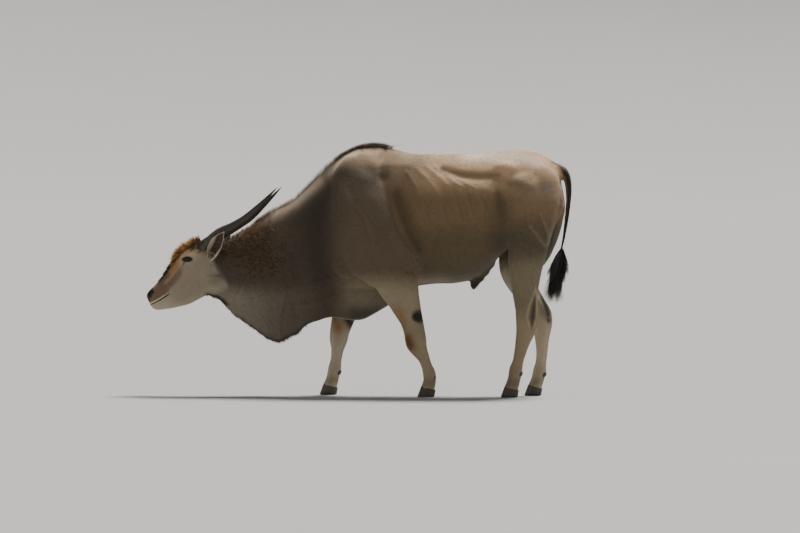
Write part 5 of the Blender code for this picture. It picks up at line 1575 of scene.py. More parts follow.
def forelock_piece(ground, draw, settings):
    """The brush on the forehead, dark by the horns and orange towards the nose."""
    coat = Coat((0.0, 0.3, 0.65, 1.0))

    def place(low, high, broad=0.072):
        def weights(m):
            local = in_head_frame(m)
            a, side, u = local[:, 0], np.abs(local[:, 1]), local[:, 2]
            wide = broad - 0.16 * np.clip(a - 0.17, 0.0, 0.2)
            here = rise(a, low - 0.015, low + 0.010) * rise(a, high + 0.015, high - 0.010)
            return here * rise(side - wide, 0.006, -0.006) * rise(u, 0.09, 0.12)

        return weights

    def lie(roots, normals):
        local = in_head_frame(roots)
        t = rise(local[:, 0], 0.15, 0.36)
        way = np.column_stack([0.9 + 0.2 * t, local[:, 1] * 9.0, np.zeros(len(roots))])
        return turned_with_head(way)

    def tints(roots, normals):
        a = in_head_frame(roots)[:, 0]
        dark = rise(a, 0.200, 0.155)[:, None]
        # Roots and tips of the orange hair lighter than its own colour: painted backlight through the hair
        root = between((0.30, 0.130, 0.035), (0.10, 0.048, 0.020), dark)
        return root, between((0.98, 0.58, 0.18), (0.60, 0.27, 0.07), dark)

    def round_horns(m):
        local = in_head_frame(m)
        right = folded(local)
        start, end = np.array(HORN_ROOT), np.array(HORN_TIP)
        way = (end - start) / np.linalg.norm(end - start)
        along = (right - start) @ way
        far = np.linalg.norm(right - start - along[:, None] * way, axis=1)
        return (
            rise(far, 0.062, 0.046)
            * rise(far, 0.026, 0.032)
            * rise(along, 0.10, 0.05)
            * rise(along, -0.06, -0.03)
        )

    def back_and_out(roots, normals):
        local = in_head_frame(roots)
        way = np.column_stack([np.full(len(roots), -0.8), local[:, 1] * 3.0, np.full(len(roots), 0.35)])
        return turned_with_head(way)

    count = settings.forelock_locks
    shaded = two_tints((0.050, 0.032, 0.018), (0.20, 0.115, 0.050))
    band(
        coat, ground, draw, round_horns, count // 2, 8, 0.004, back_and_out, 0.020, 0.0018, 0.010, shaded,
        sway=0.30
    )
    more = {"sway": 0.70, "curl": 0.003, "blend": 1.3}
    band(
        coat, ground, draw, place(0.145, 0.250), count // 2, 9, 0.004, lie, 0.024, 0.0024, 0.044, tints,
        **more
    )
    band(
        coat, ground, draw, place(0.240, 0.335), count // 2, 9, 0.004, lie, 0.024, 0.0024, 0.042, tints,
        **more
    )
    band(coat, ground, draw, place(0.145, 0.350), count, 8, 0.0045, lie, 0.030, 0.0024, 0.022, tints, **more)
    onward = steady(head_way((1.0, 0.0, 0.1)))
    black = two_tints((0.014, 0.010, 0.008), (0.030, 0.021, 0.014))
    for low, high, length, lift in (
        (0.345, 0.400, 0.026, 0.019), (0.385, 0.450, 0.022, 0.014), (0.435, 0.500, 0.016, 0.007)
    ):
        weights = place(low, high, 0.058)
        band(
            coat, ground, draw, weights, count // 4, 8, 0.003, onward, length, 0.0022, lift, black, sway=0.35
        )
    return coat.piece("forelock")


def ruff_piece(ground, draw, settings):
    """Coarse curly hair behind the horns and ears, golden at its tips."""
    coat = Coat((0.0, 0.25, 0.5, 0.75, 1.0))

    def place(m):
        flat = m[:, [0, 2]]
        curls = nearness(flat, ((-1.16, 1.06), (-1.06, 1.06), (-1.00, 0.94)), 0.120)
        crest = rise(m[:, 0], -0.88, -0.98) * rise(m[:, 2], 0.98, 1.08)
        free = rise(in_head_frame(m)[:, 0], 0.060, 0.030)
        return np.clip(curls * 1.2 + crest * 0.8, 0, 1) * free * rise(m[:, 2], 0.78, 0.86)

    def lie(roots, normals):
        return np.column_stack([np.full(len(roots), 0.85), roots[:, 1] * 1.5, np.full(len(roots), -0.55)])

    def tints(roots, normals):
        flat = roots[:, [0, 2]]
        gold = np.clip(nearness(flat, ((-1.135, 1.13), (-1.055, 1.155)), 0.055) * 1.3, 0, 1)[:, None]
        back = rise(roots[:, 0], -1.02, -0.92)[:, None]
        root = between((0.048, 0.030, 0.018), (0.15, 0.062, 0.020), gold)
        tip = between((0.46, 0.30, 0.145), (0.62, 0.31, 0.08), gold)
        tip = tip * (1 - back * 0.35) + np.array((0.24, 0.19, 0.13)) * back * 0.35
        return root, tip

    count = settings.ruff_locks
    band(
        coat, ground, draw, place, count, 6, 0.0046, lie, 0.040, 0.0022, 0.016, tints,
        sway=0.42, curl=0.0050, waves=1.6, gather=0.9, blend=2.2,
    )
    return coat.piece("ruff")


def mane_piece(ground, draw, settings):
    """The short mane from the nape to the top of the hump."""
    coat = Coat((0.0, 0.3, 0.65, 1.0))

    def place(low, high, broad):
        def weights(m):
            along = rise(m[:, 0], low - 0.03, low + 0.03) * rise(m[:, 0], high + 0.05, high - 0.05)
            line = rise(np.abs(m[:, 1]), broad, broad * 0.5)
            return along * line * rise(m[:, 2] - height_of(TRUNK, m[:, 0]), -0.09, -0.05)

        return weights

    def lie(roots, normals):
        return np.column_stack([np.full(len(roots), 1.0), roots[:, 1] * 3.0, np.full(len(roots), 0.35)])

    def tints(roots, normals):
        hump = rise(roots[:, 0], -0.56, -0.40)[:, None]
        root = between((0.22, 0.165, 0.115), (0.060, 0.042, 0.030), hump)
        return root, between((0.66, 0.52, 0.36), (0.125, 0.090, 0.062), hump)

    count = settings.mane_locks
    more = {"sway": 0.26, "curl": 0.002, "blend": 1.2, "gather": 0.3}
    neck, hump = place(-1.03, -0.44, 0.044), place(-0.48, -0.14, 0.036)
    band(coat, ground, draw, neck, count // 2, 7, 0.0075, lie, 0.040, 0.0022, 0.025, tints, **more)
    band(coat, ground, draw, hump, count // 2, 7, 0.0075, lie, 0.046, 0.0024, 0.020, tints, **more)
    return coat.piece("mane")


def fringe_piece(ground, draw, settings):
    """Hair under the throat, along the lower edge of the dewlap and on the sheath."""
    coat = Coat((0.0, 0.3, 0.65, 1.0))

    def edge(m):
        return rise(m[:, 2] - height_of(DEWLAP, m[:, 0]), 0.022, 0.006) * rise(np.abs(m[:, 1]), 0.030, 0.018)

    def dewlap(m):
        return edge(m) * rise(m[:, 0], -1.30, -1.24) * rise(m[:, 0], -0.62, -0.72)

    def throat(m):
        strip = nearness(m[:, [0, 2]], ((-1.335, 0.668), (-1.285, 0.652), (-1.22, 0.615)), 0.020)
        return strip * rise(np.abs(m[:, 1]), 0.040, 0.020)

    def sheath(m):
        return nearness(m, ((0.460, 0.0, 0.730), (0.455, 0.0, 0.700)), 0.018) * rise(m[:, 2], 0.76, 0.73)

    dark = two_tints((0.05, 0.038, 0.028), (0.020, 0.015, 0.012))
    grey = two_tints((0.12, 0.10, 0.075), (0.035, 0.027, 0.021))
    way = steady((0.75, 0.0, -0.6))
    count = settings.fringe_locks
    band(coat, ground, draw, throat, count // 3, 8, 0.004, way, 0.026, 0.0022, 0.005, dark, droop=0.004)
    band(
        coat, ground, draw, dewlap, count, 7, 0.004, way, 0.026, 0.0022, 0.006, grey, droop=0.005, curl=0.002
    )
    band(
        coat, ground, draw, sheath, count // 6, 9, 0.003, steady((-0.1, 0.0, -1.0)), 0.014, 0.0018, 0.002,
        dark,
        droop=0.003,
    )
    return coat.piece("fringe")


def tail_piece(ground, draw, settings):
    """The black tuft: long hair from all round the end of the tail, in wisps with ragged ends."""
    coat = Coat((0.0, 0.14, 0.3, 0.5, 0.72, 0.88, 1.0))
    wisps, count = 110, settings.tail_hairs
    owner = draw.integers(0, wisps, count)
    ends = draw.uniform(0.612, 0.850, wisps)
    reach = np.interp(ends, (0.61, 0.66, 0.72, 0.79, 0.85), (0.012, 0.036, 0.056, 0.072, 0.076))
    reach *= draw.uniform(0.0, 1.0, wisps) ** 0.45
    around = draw.uniform(0.0, 2 * math.pi, wisps)[owner] + draw.normal(0.0, 0.17, count)
    height = 1.000 - 0.150 * draw.uniform(0.0, 1.0, count) ** 1.1
    height = np.maximum(height, ends[owner] + 0.07)
    normals = np.column_stack([np.cos(around), 0.85 * np.sin(around), np.full(count, -0.12)])
    normals = unit(normals)
    middles = np.column_stack([1.046 - 0.16 * (0.985 - height), np.zeros(count), height])
    roots = middles + normals * 0.008
    lifts = reach[owner] * draw.uniform(0.82, 1.06, count) * np.where(normals[:, 0] < 0, 1.3, 0.80)
    lean = np.column_stack(
        [draw.normal(-0.30, 0.050, wisps), draw.normal(0.0, 0.045, wisps), np.full(wisps, -1.0)]
    )
    tint = evenly(TUFT_BLACK, count)
    coat.grow(
        roots,
        normals,
        lean[owner] + draw.normal(0.0, 0.012, (count, 3)),
        height - ends[owner] + draw.normal(0.0, 0.007, count),
        0.0056 * draw.uniform(0.6, 1.2, count),
        lifts,
        np.zeros(count),
        tint * 1.3,
        varied(draw, tint, 0.2) * 1.9,
        ground.map_places(roots),
        curl=0.006 * draw.uniform(0.3, 1.3, wisps)[owner],
        phase=draw.uniform(0, 6.28, wisps)[owner],
        taper=0.6,
    )
    return coat.piece("tail_hair")


def ear_frame(side):
    """Root, way to the tip, way out of the hollow and across it, and length."""
    root, tip = on_head(EAR_ROOT, side), on_head(EAR_TIP, side)
    along = (tip - root).normalized()
    outward = Vector((-0.30, side, -0.05))
    outward = (outward - along * outward.dot(along)).normalized()
    return root, along, outward, along.cross(outward), (tip - root).length


def ear_point(side, t, s):
    """A place on the cup of an ear: t from root to tip, s from -1 to 1 across it."""
    root, along, outward, across, length = ear_frame(side)
    if t < EAR_WIDEST:
        width = EAR_WIDTH * (0.36 + 0.64 * math.sin(math.pi / 2 * max(t, 0.0) / EAR_WIDEST))
    else:
        width = EAR_WIDTH * math.cos(math.pi / 2 * min(1.0, (t - EAR_WIDEST) / (1 - EAR_WIDEST))) + 0.0012
    wrap = math.radians(150 - 85 * t)
    radius = width / math.sin(min(wrap, math.pi / 2))
    angle = wrap * s
    point = root + along * (length * t) + across * radius * math.sin(angle)
    return point + outward * (radius * (1 - math.cos(angle)) * 0.85 - EAR_HOLLOW)


def ear_piece(name, side):
    """A leaf-shaped cup, thin at its rim, pale outside and dark in its hollow."""
    bm = bmesh.new()
    rows, columns = 30, 24
    bmesh.ops.create_grid(bm, x_segments=rows, y_segments=columns, size=1.0)
    for vert in bm.verts:
        t, s = (vert.co.x + 1) / 2, vert.co.y
        vert.co = ear_point(side, -0.10 + 1.10 * t, s)
    bmesh.ops.recalc_face_normals(bm, faces=bm.faces)
    obj = object_of(bm, name)
    thick = obj.modifiers.new("thickness", "SOLIDIFY")
    thick.thickness = 0.0042
    thick.offset = 0.0
    round_off = obj.modifiers.new("round off", "SUBSURF")
    round_off.levels = 1
    round_off.render_levels = 1
    applied(obj)
    spots, normals = spots_of(obj.data), normals_of(obj.data)
    root, along, outward, across, length = ear_frame(side)
    t = (spots - np.array(root)) @ np.array(along) / length
    s = np.abs((spots - np.array(root)) @ np.array(across)) / EAR_WIDTH
    inside = rise(normals @ np.array(outward), -0.05, 0.35)
    paint = Paint(EAR_BACK, len(spots))
    lay = paint.lay
    lay(rise(t, 0.62, 0.92) * (1 - inside), EAR_TIP_DARK)
    lay(inside, EAR_INSIDE)
    lay(inside * rise(s, 0.52, 0.85) * rise(t, 0.98, 0.86), EAR_RIM)
    lay(inside * rise(t, 0.30, 0.12), EAR_FLOOR)
    dye(obj.data, paint.colour, rise(t, -1.0, -0.9), np.zeros(len(spots)))
    return obj


def ear_hair(ground, draw, side, coat):
    """Pale hair along the rims of an ear and rows of it across the hollow."""
    _, along, outward, _, _ = ear_frame(side)
    count = RIM_HAIRS
    t = draw.uniform(0.04, 0.97, count)
    rim = draw.uniform(0, 1, count) < 0.62
    s = np.where(
        rim, draw.choice((-1.0, 1.0), count) * draw.uniform(0.90, 0.985, count),
        draw.uniform(-0.75, 0.75, count)
    )
    roots = np.array([ear_point(side, one, two) for one, two in zip(t, s)])
    toward_middle = np.array([ear_point(side, one, two * 0.6) for one, two in zip(t, s)]) - roots
    toward_middle = unit(toward_middle, 1e-6)
    out = np.array(outward)
    normals = np.where(rim[:, None], out * 0.6 + np.array(along) * 0.2 - toward_middle * 0.3, out * 0.9)
    normals = unit(normals)
    lies = (
        np.array(along) * 0.9
        + toward_middle * np.where(rim, 0.8, 0.25)[:, None]
        + draw.normal(0, 0.12, (count, 3))
    )
    pale, dark = evenly(EAR_HAIR_PALE, count), evenly(EAR_HAIR_DARK, count)
    tint = np.where((rim | (draw.uniform(0, 1, count) < 0.60))[:, None], pale, dark)
    coat.grow(
        roots, normals, lies, draw.uniform(0.014, 0.028, count), 0.0018 * np.ones(count),
        0.004 * np.ones(count), np.zeros(count), tint * 0.8, tint, ground.map_places(roots), sink=0.001,
        curl=0.0012 * np.ones(count),
    )
    count = HOLLOW_HAIRS
    t = draw.uniform(-0.06, 0.95, count)
    s = draw.uniform(-0.97, 0.97, count)
    roots = np.array([ear_point(side, one, two) for one, two in zip(t, s)])
    ahead = np.array([ear_point(side, one + 0.02, two) for one, two in zip(t, s)]) - roots
    beside = np.array([ear_point(side, one, two + 0.02) for one, two in zip(t, s)]) - roots
    normals = np.cross(ahead, beside)
    normals = unit(normals, 1e-9)
    normals *= -np.sign(normals @ out)[:, None]
    normals[np.abs(normals @ out) < 1e-6] = -out
    pale = evenly(EAR_BACK, count) * (1 - 0.6 * rise(t, 0.6, 0.95))[:, None]
    coat.grow(
        roots + normals * 0.002, normals, ahead, draw.uniform(0.008, 0.013, count), 0.0016 * np.ones(count),
        0.0012 * np.ones(count), np.zeros(count), pale * 0.85, pale * 1.1, ground.map_places(roots),
        sink=0.0008,
    )


def lash_hair(ground, draw, side, coat, settings):
    """Lashes along the upper lid."""
    count = LASHES
    angle = draw.uniform(math.radians(25), math.radians(165), count)
    half_height = settings.lid_opening_height * 0.52
    flat = np.column_stack([np.cos(angle) * settings.lid_opening_length / 2, np.sin(angle) * half_height])
    turn = np.array(((math.cos(EYE_TILT), math.sin(EYE_TILT)), (-math.sin(EYE_TILT), math.cos(EYE_TILT))))
    flat = flat @ turn
    off = EYE_AT.y + np.sqrt(np.maximum((settings.eye_radius + 0.0030) ** 2 - (flat**2).sum(axis=1), 1e-6))
    local = np.column_stack([EYE_AT.x + flat[:, 0], side * off, EYE_AT.z + flat[:, 1]])
    roots = from_head_frame(local)
    way = np.column_stack([flat[:, 0] * 14, np.full(count, side * 0.75), np.full(count, -0.10)])
    out = np.column_stack([flat[:, 0] * 6, np.full(count, side * 0.6), np.full(count, 0.9)])
    out = unit(out)
    tint = evenly(LASH, count)
    coat.grow(
        roots, turned_with_head(out), turned_with_head(way), draw.uniform(0.011, 0.016, count),
        0.0008 * np.ones(count), 0.0015 * np.ones(count), np.zeros(count), tint, tint,
        ground.map_places(roots), sink=0.001,
    )


def eye_piece(name, side, settings):
    """An eyeball: dark brown iris, level pupil and a wet surface."""
    bm = bmesh.new()
    centre = on_head(EYE_AT, side)
    bmesh.ops.create_uvsphere(bm, u_segments=64, v_segments=40, radius=settings.eye_radius)
    bm.transform(Matrix.Rotation(-side * math.radians(90), 4, "X"))
    gaze = Vector((-0.26, side, 0.02)).normalized()
    for vert in bm.verts:
        front = vert.co.normalized().dot(gaze)
        vert.co += gaze * 0.0012 * max(0.0, (front - 0.80) / 0.20) ** 0.8 if front > 0.80 else Vector()
        vert.co += centre
    obj = object_of(bm, name)
    spots = spots_of(obj.data) - np.array(centre)
    ways = unit(spots)
    forward = np.array(head_matrix().to_3x3() @ Vector((1, 0, 0)))
    level = forward - np.array(gaze) * (forward @ np.array(gaze))
    level /= np.linalg.norm(level)
    upward = np.cross(np.array(gaze), level)
    out = np.arccos(np.clip(ways @ np.array(gaze), -1, 1))
    paint = Paint(EYE_WHITE, len(spots))
    lay = paint.lay
    rays = 0.5 + 0.5 * np.sin(38 * np.arctan2(ways @ upward, ways @ level))
    iris = np.array(IRIS) * (0.7 + 0.5 * rays[:, None])
    lay(rise(out, 0.70, 0.62), iris)
    lay(rise(np.abs(out - 0.67), 0.07, 0.02), EYE_RIM)
    pupil = np.hypot(ways @ level / 0.36, ways @ upward / 0.20)
    lay(rise(pupil, 1.10, 0.85) * (ways @ np.array(gaze) > 0), PUPIL)
    dye(obj.data, paint.colour)
    return obj


def horn_piece(name, side, settings):
    """A tapering horn with a ridge that winds round it and growth rings that fade towards the tip."""
    root, tip = on_head(HORN_ROOT, side), on_head(HORN_TIP, side)
    along = (tip - root).normalized()
    up = along.cross(Vector((0, side, 0))).normalized() * side
    across = along.cross(up)
    rings, shades = [], []
    count, sides = settings.horn_sections, 40
    for k in range(count + 1):
        t = -0.07 + 1.07 * k / count
        lifted = 0.011 * math.sin(math.pi * min(1.0, max(0.0, t) / 0.55))
        bow = up * (lifted - HORN_SAG * math.sin(math.pi * t)) + across * 0.012 * math.sin(math.pi * t)
        middle = root.lerp(tip, t) + bow
        radius = HORN_RADIUS * (1 - max(t, 0.0) ** 2.2) + 0.0016
        keel_at = side * (2 * math.pi * HORN_TURNS * max(t, 0.0) ** 0.85) + math.pi
        fade = max(0.0, 1 - t / 0.72)
        groove = math.sin(t * 118 + 0.9 * math.sin(t * 31)) * max(0.0, 1 - t / 0.60)
        ring = []
        for j in range(sides):
            angle = 2 * math.pi * j / sides
            near = (1 + math.cos(angle)) / 2
            reach = radius + KEEL_HEIGHT * fade * near**7 + 0.0013 * groove * (0.5 + 0.5 * near)
            reach += 0.0007 * noise.noise(Vector((t * 60, math.cos(angle) * 3, math.sin(angle) * 3)))
            spun = angle + keel_at
            ring.append(middle + (up * math.cos(spun) + across * math.sin(spun)) * reach)
            shades.append((t, near**7 * fade, groove))
        rings.append(ring)
    bm = bmesh.new()
    loft(bm, rings)
    obj = object_of(bm, name)
    t, keel, groove = np.array(shades).T
    paint = Paint(HORN_BROWN, len(t))
    lay = paint.lay
    lay(rise(t, 0.25, 0.0), HORN_BASE)
    lay(keel * 0.6, HORN_RIDGE)
    lay(np.clip(-groove, 0, 1) * 0.5, HORN_GROOVE)
    lay(rise(t, 0.70, 0.98), HORN_END)
    dye(obj.data, paint.colour)
    return obj


def claw_rings(foot, side):
    """One claw of a cloven hoof: a flat sole, a sloping front and a rim that falls to the heel."""
    rings = []
    for level in (0.0, 0.03, 0.10, 0.25, 0.40, 0.55, 0.70, 0.85, 0.96, 1.0):
        ring = []
        for k in range(36):
            angle = 2 * math.pi * k / 36
            round_off = 1 - 0.06 * max(0.0, 1 - level / 0.06) ** 2
            reach = SOLE_LENGTH / 2 * (1 - 0.18 * level) * round_off
            ahead = reach * math.cos(angle)
            narrow = 1 - 0.45 * max(0.0, math.cos(angle)) ** 1.5
            half = CLAW_WIDTH / 2 * (1 - 0.06 * level) * narrow * round_off
            out = CLEFT / 2 + CLAW_WIDTH / 2 + half * math.sin(angle) - (1 - narrow) * CLAW_WIDTH * 0.3
            top = HEEL_HEIGHT + (TOE_HEIGHT - HEEL_HEIGHT) * (ahead / reach + 1) / 2
            ring.append(Vector((foot.x - ahead - 0.012 + 0.018 * level, foot.y + side * out, top * level)))
        rings.append(ring)
    return rings


def hoof_piece():
    """All eight claws, with a pair of dew claws behind each foot."""
    bm = bmesh.new()
    for rows, side in LEGS:
        foot = Vector((rows[-1][0], side * rows[-1][2], 0))
        for claw_side in (-1, 1):
            loft(bm, claw_rings(foot, claw_side))
            pastern = rows[-3] if rows[-3][1] < 0.2 else rows[-2]
            heel = Vector((pastern[0] + pastern[3] - 0.019, foot.y + claw_side * 0.020, pastern[1] - 0.034))
            place = Matrix.Translation(heel) @ Matrix.Rotation(math.radians(35), 4, "Y")
            dew = bmesh.ops.create_uvsphere(bm, u_segments=20, v_segments=12, radius=1.0)["verts"]
            for vert in dew:
                taper = 1 - 0.55 * max(0.0, -vert.co.z)
                x, y, z = vert.co
                vert.co = place @ Vector((x * 0.015 * taper, y * 0.012 * taper, z * 0.026))
    return object_of(bm, "hooves")


def hoof_finish():
    finish = Finish("hoof horn", specular_ior_level=0.4)
    spots = finish.places()
    lines = finish.speckle(1.0, finish.places((14.0, 14.0, 420.0)), detail=2.0)
    grain = finish.speckle(60.0, spots, detail=5.0)
    streaks = finish.speckle(1.0, finish.places((260.0, 260.0, 22.0)), detail=3.0)
    share = lines * 0.35 + streaks * 0.45 + grain * 0.20
    finish.set(base_color=finish.mix(share, (0.020, 0.017, 0.015), (0.125, 0.105, 0.085)))
    finish.set(roughness=0.42 + grain * 0.28)
    finish.bump(lines * 0.7 + streaks * 0.3 + grain * 0.3, 0.35, 0.0012)
    return finish.material


def horn_finish():
    finish = Finish("horn", specular_ior_level=0.45)
    coat = finish.attribute("coat", "Color")
    fibres = finish.speckle(1.0, finish.places((26.0, 300.0, 180.0)), detail=4.0)
    stains = finish.speckle(24.0, finish.places(), detail=5.0)
    tone = (0.55 + fibres * 0.55) * (0.70 + stains * 0.60)
    finish.tint(coat, tone)
    finish.set(roughness=0.36 + stains * 0.30)
    finish.bump(fibres * 0.7 + stains * 0.5, 0.4, 0.0013)
    return finish.material


def eye_finish():
    finish = Finish("eye", roughness=0.10, coat_weight=0.35, coat_roughness=0.04, specular_ior_level=0.25)
    coat = finish.attribute("coat", "Color")
    veins = finish.speckle(900.0, finish.places(), detail=2.0)
    finish.tint(coat, 0.85 + veins * 0.3)
    return finish.material


def floor_finish(colour):
    finish = Finish("studio floor", roughness=0.85)
    broad = finish.speckle(0.35, finish.places(), detail=3.0)
    finish.tint(tuple(colour), 0.97 + broad * 0.06)
    return finish.material


class SkinSizes(bpy.types.PropertyGroup):
    voxel: bpy.props.FloatProperty(
        name="Clay grain", description="Size of the cells that the clay is fused at", default=0.007,
        min=0.003, unit="LENGTH"
    )
    relax_rounds: bpy.props.IntProperty(
        name="Smoothing", description="Rounds of smoothing over the whole skin", default=8, min=0
    )
    blend_rounds: bpy.props.IntProperty(
        name="Blending", description="Rounds that blend limbs into the trunk", default=90, min=0
    )
    body_share: bpy.props.FloatProperty(
        name="Faces kept", description="Share of the faces kept on trunk and limbs", default=0.36, min=0.05,
        max=1.0
    )
    coat_depth: bpy.props.FloatProperty(
        name="Coat depth", description="How far the skin lies under the coat", default=0.0025, min=0.0,
        unit="LENGTH"
    )
    eye_radius: bpy.props.FloatProperty(
        name="Eyeball", description="Radius of an eyeball", default=0.0225, min=0.01, unit="LENGTH"
    )
    lid_opening_length: bpy.props.FloatProperty(
        name="Lid opening, length", description="Length of the opening between the lids", default=0.047,
        unit="LENGTH"
    )
    lid_opening_height: bpy.props.FloatProperty(
        name="Lid opening, height", description="Height of the opening between the lids", default=0.0215,
        unit="LENGTH"
    )
    horn_sections: bpy.props.IntProperty(
        name="Horn sections", description="Sections along each horn", default=150, min=20
    )


class HairSizes(bpy.types.PropertyGroup):
    seed: bpy.props.IntProperty(name="Seed", description="Start of the hair's random draw", default=7)
    short_tufts: bpy.props.IntProperty(
        name="Short tufts", description="Tufts of the short flat coat on each flank", default=19500, min=100
    )
    forelock_locks: bpy.props.IntProperty(
        name="Forelock", description="Locks on the forehead", default=330, min=10
    )
    ruff_locks: bpy.props.IntProperty(
        name="Ruff", description="Curls behind horns and ears", default=1500, min=10
    )
    mane_locks: bpy.props.IntProperty(name="Mane", description="Locks along the crest", default=900, min=10)
    fringe_locks: bpy.props.IntProperty(
        name="Fringe", description="Locks under the dewlap", default=170, min=10
    )
    tail_hairs: bpy.props.IntProperty(
        name="Tail", description="Locks of the tail's tuft", default=3600, min=10
    )


class StageSizes(bpy.types.PropertyGroup):
    floor_colour: bpy.props.FloatVectorProperty(
        name="Floor", description="Colour of the floor", default=(0.42, 0.415, 0.405), size=3,
        subtype="COLOR", min=0, max=1
    )
    camera_turn: bpy.props.FloatProperty(
        name="Camera turn", description="How far the camera stands round from square on",
        default=math.radians(6),
        subtype="ANGLE", unit="ROTATION",
    )
    camera_tilt: bpy.props.FloatProperty(
        name="Camera tilt", description="How far the camera looks down", default=math.radians(1.48),
        subtype="ANGLE", unit="ROTATION",
    )
    camera_distance: bpy.props.FloatProperty(
        name="Camera distance", description="From the camera to the middle", default=45.0, unit="LENGTH"
    )
    camera_height: bpy.props.FloatProperty(
        name="Camera height", description="Height of the camera over the floor", default=2.03, unit="LENGTH"
    )
    key_strength: bpy.props.FloatProperty(
        name="Key light", description="Strength of the light from behind and above", default=6.0, min=0.0
    )
    fill_strength: bpy.props.FloatProperty(
        name="Fill light", description="Strength of the light round the animal", default=0.24, min=0.0
    )


class ElandSkin(bpy.types.Operator):
    """Build the skin with its folds, lids, lips and nostrils"""

    bl_idname = "eland.skin"
    bl_label = "Skin"

    def execute(self, context):
        obj = make_skin(context.scene.eland_skin)
        spots, normals = spots_of(obj.data), normals_of(obj.data)
        upright = np.maximum(rise(spots[:, 2], 0.80, 0.60), rise(spots[:, 0], 1.03, 1.06))
        local = in_head_frame(spots)
        wet = nose_share(local) * 0.9
        dye(obj.data, coat_colour(spots, normals), upright, wet)
        return {"FINISHED"}


class ElandCoat(bpy.types.Operator):
    """Grow the short coat, the long locks, ear hair and lashes, and settle the skin"""

    bl_idname = "eland.coat"
    bl_label = "Coat"

    def execute(self, context):
        sizes = context.scene.eland_hair
        skin = bpy.data.objects["skin"]
        ground = Ground(skin)
        draw = np.random.default_rng(sizes.seed)
        flat = hair_finish("flat hair", 0.62, 0.36)
        for piece in make_short_coat(ground, draw, sizes):
            settled(piece, flat)
        long = hair_finish("long hair", 0.50, 0.30)
        for make in (forelock_piece, ruff_piece, mane_piece, fringe_piece):
            settled(make(ground, draw, sizes), long)
        small = Coat((0.0, 0.5, 1.0))
        for side in (-1, 1):
            ear_hair(ground, draw, side, small)
            lash_hair(ground, draw, side, small, context.scene.eland_skin)
        settled(small.piece("ear_hair"), long)
        settled(
            tail_piece(ground, draw, sizes), hair_finish("tail hair", 0.42, 0.4), ("tail_tuft",)
        )
        settled(skin, skin_finish(), (*FLESH, *LEG_NODES))
        return {"FINISHED"}


class ElandHeadParts(bpy.types.Operator):
    """Build eyes, ears and horns"""

    bl_idname = "eland.head_parts"
    bl_label = "Eyes, ears and horns"

    def execute(self, context):
        sizes = context.scene.eland_skin
        eye, horn, ear = eye_finish(), horn_finish(), skin_finish()
        for word, side in (("left", -1), ("right", 1)):
            settled(eye_piece(f"{word}_eyeball", side, sizes), eye, (f"{word}_eye",))
            settled(ear_piece(f"{word}_ear_cup", side), ear, (f"{word}_ear",))
            settled(horn_piece(f"{word}_horn_sheath", side, sizes), horn, (f"{word}_horn",))
        return {"FINISHED"}


class ElandHooves(bpy.types.Operator):
    """Build the cloven hooves and dew claws"""

    bl_idname = "eland.hooves"
    bl_label = "Hooves"

    def execute(self, context):
        settled(hoof_piece(), hoof_finish(), CLAW_NODES)
        return {"FINISHED"}


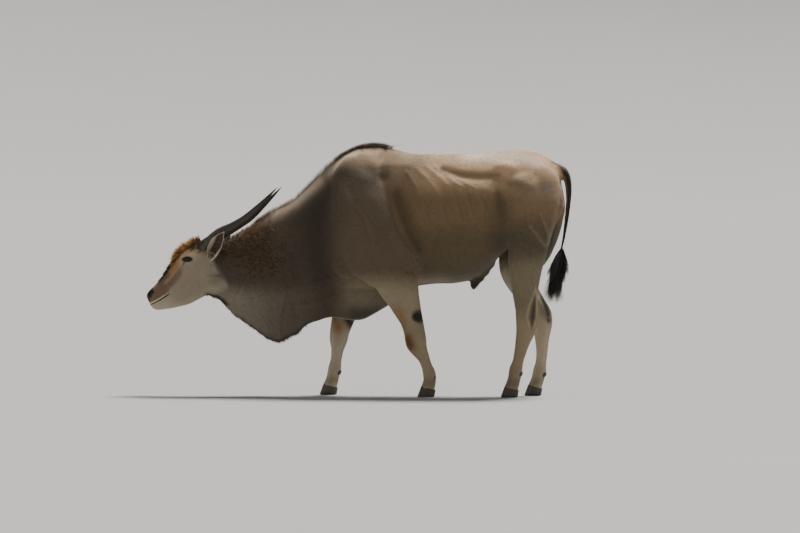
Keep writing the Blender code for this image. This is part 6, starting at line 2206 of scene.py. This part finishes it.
class ElandStage(bpy.types.Operator):
    """Set up floor, light and camera"""

    bl_idname = "eland.stage"
    bl_label = "Stage"

    def execute(self, context):
        sizes = context.scene.eland_stage
        bm = bmesh.new()
        profile = [bm.verts.new((0, 0, 0))]
        profile += [bm.verts.new((reach, 0, 0)) for reach in FLOOR_RADII]
        for k in range(1, 13):
            angle = math.radians(90) * k / 12
            out, up = FLOOR_RADII[-1] + FLOOR_RISE * math.sin(angle), FLOOR_RISE * (1 - math.cos(angle))
            profile.append(bm.verts.new((out, 0, up)))
        edges = [bm.edges.new(pair) for pair in zip(profile, profile[1:])]
        bmesh.ops.spin(
            bm, geom=profile + edges, cent=(0, 0, 0), axis=(0, 0, 1), steps=96, angle=2 * math.pi,
            use_merge=True
        )
        bmesh.ops.remove_doubles(bm, verts=bm.verts, dist=1e-5)
        bmesh.ops.recalc_face_normals(bm, faces=bm.faces)
        if sum(face.normal.z * face.calc_area() for face in bm.faces) < 0:
            bmesh.ops.reverse_faces(bm, faces=bm.faces)
        floor = object_of(bm, "floor")
        floor.data.polygons.foreach_set("use_smooth", [True] * len(floor.data.polygons))
        floor.data.materials.append(floor_finish(sizes.floor_colour))
        self.light(context, sizes)
        self.camera(context, sizes)
        return {"FINISHED"}

    def light(self, context, sizes):
        world = bpy.data.worlds.new("studio")
        world.use_nodes = True
        glow = world.node_tree.nodes["Background"]
        glow.inputs["Color"].default_value = (0.93, 0.96, 1.0, 1.0)
        glow.inputs["Strength"].default_value = sizes.fill_strength
        context.scene.world = world
        for name, strength, angle, turn in (
            ("key", sizes.key_strength, 20.0, (math.radians(27), 0, math.radians(150))),
            ("front", 0.14, 50.0, (math.radians(58), 0, math.radians(-28))),
        ):
            lamp = bpy.data.lights.new(name, "SUN")
            lamp.energy = strength
            lamp.angle = math.radians(angle)
            lamp.color = (1.0, 0.965, 0.91) if name == "key" else (0.95, 0.97, 1.0)
            linked(name, lamp).rotation_euler = turn

    def camera(self, context, sizes):
        data = bpy.data.cameras.new("camera")
        data.lens = LENS
        data.sensor_width = SENSOR_WIDTH
        data.clip_end = VIEW_END
        obj = linked("camera", data)
        turn = sizes.camera_turn
        aside = Vector((math.cos(turn), math.sin(turn), 0)) * CAMERA_ASIDE
        back = Vector((math.sin(turn), -math.cos(turn), 0)) * sizes.camera_distance
        obj.location = SETTLE + back - aside + Vector((0, 0, sizes.camera_height))
        obj.rotation_euler = (math.radians(90) - sizes.camera_tilt, 0, turn)
        context.scene.camera = obj


class ElandPanel(bpy.types.Panel):
    """Sizes and steps of the eland"""

    bl_idname = "VIEW3D_PT_eland"
    bl_label = "Common eland bull"
    bl_space_type = "VIEW_3D"
    bl_region_type = "UI"
    bl_category = "Eland"

    def draw(self, context):
        column = self.layout.column()
        for name in ("eland_skin", "eland_hair", "eland_stage"):
            group = getattr(context.scene, name)
            for key in group.bl_rna.properties.keys():
                if key not in ("rna_type", "name"):
                    column.prop(group, key)
        for step in STEPS:
            column.operator(step.bl_idname)


STEPS = (ElandSkin, ElandHeadParts, ElandHooves, ElandCoat, ElandStage)
CLASSES = (SkinSizes, HairSizes, StageSizes, *STEPS, ElandPanel)


def register():
    for kind in CLASSES:
        bpy.utils.register_class(kind)
    bpy.types.Scene.eland_skin = bpy.props.PointerProperty(type=SkinSizes)
    bpy.types.Scene.eland_hair = bpy.props.PointerProperty(type=HairSizes)
    bpy.types.Scene.eland_stage = bpy.props.PointerProperty(type=StageSizes)


def unregister():
    del bpy.types.Scene.eland_stage
    del bpy.types.Scene.eland_hair
    del bpy.types.Scene.eland_skin
    for kind in reversed(CLASSES):
        bpy.utils.unregister_class(kind)


def main():
    register()
    bpy.ops.eland.skin()
    bpy.ops.eland.head_parts()
    bpy.ops.eland.hooves()
    bpy.ops.eland.coat()
    bpy.ops.eland.stage()


if __name__ == "__main__":
    main()
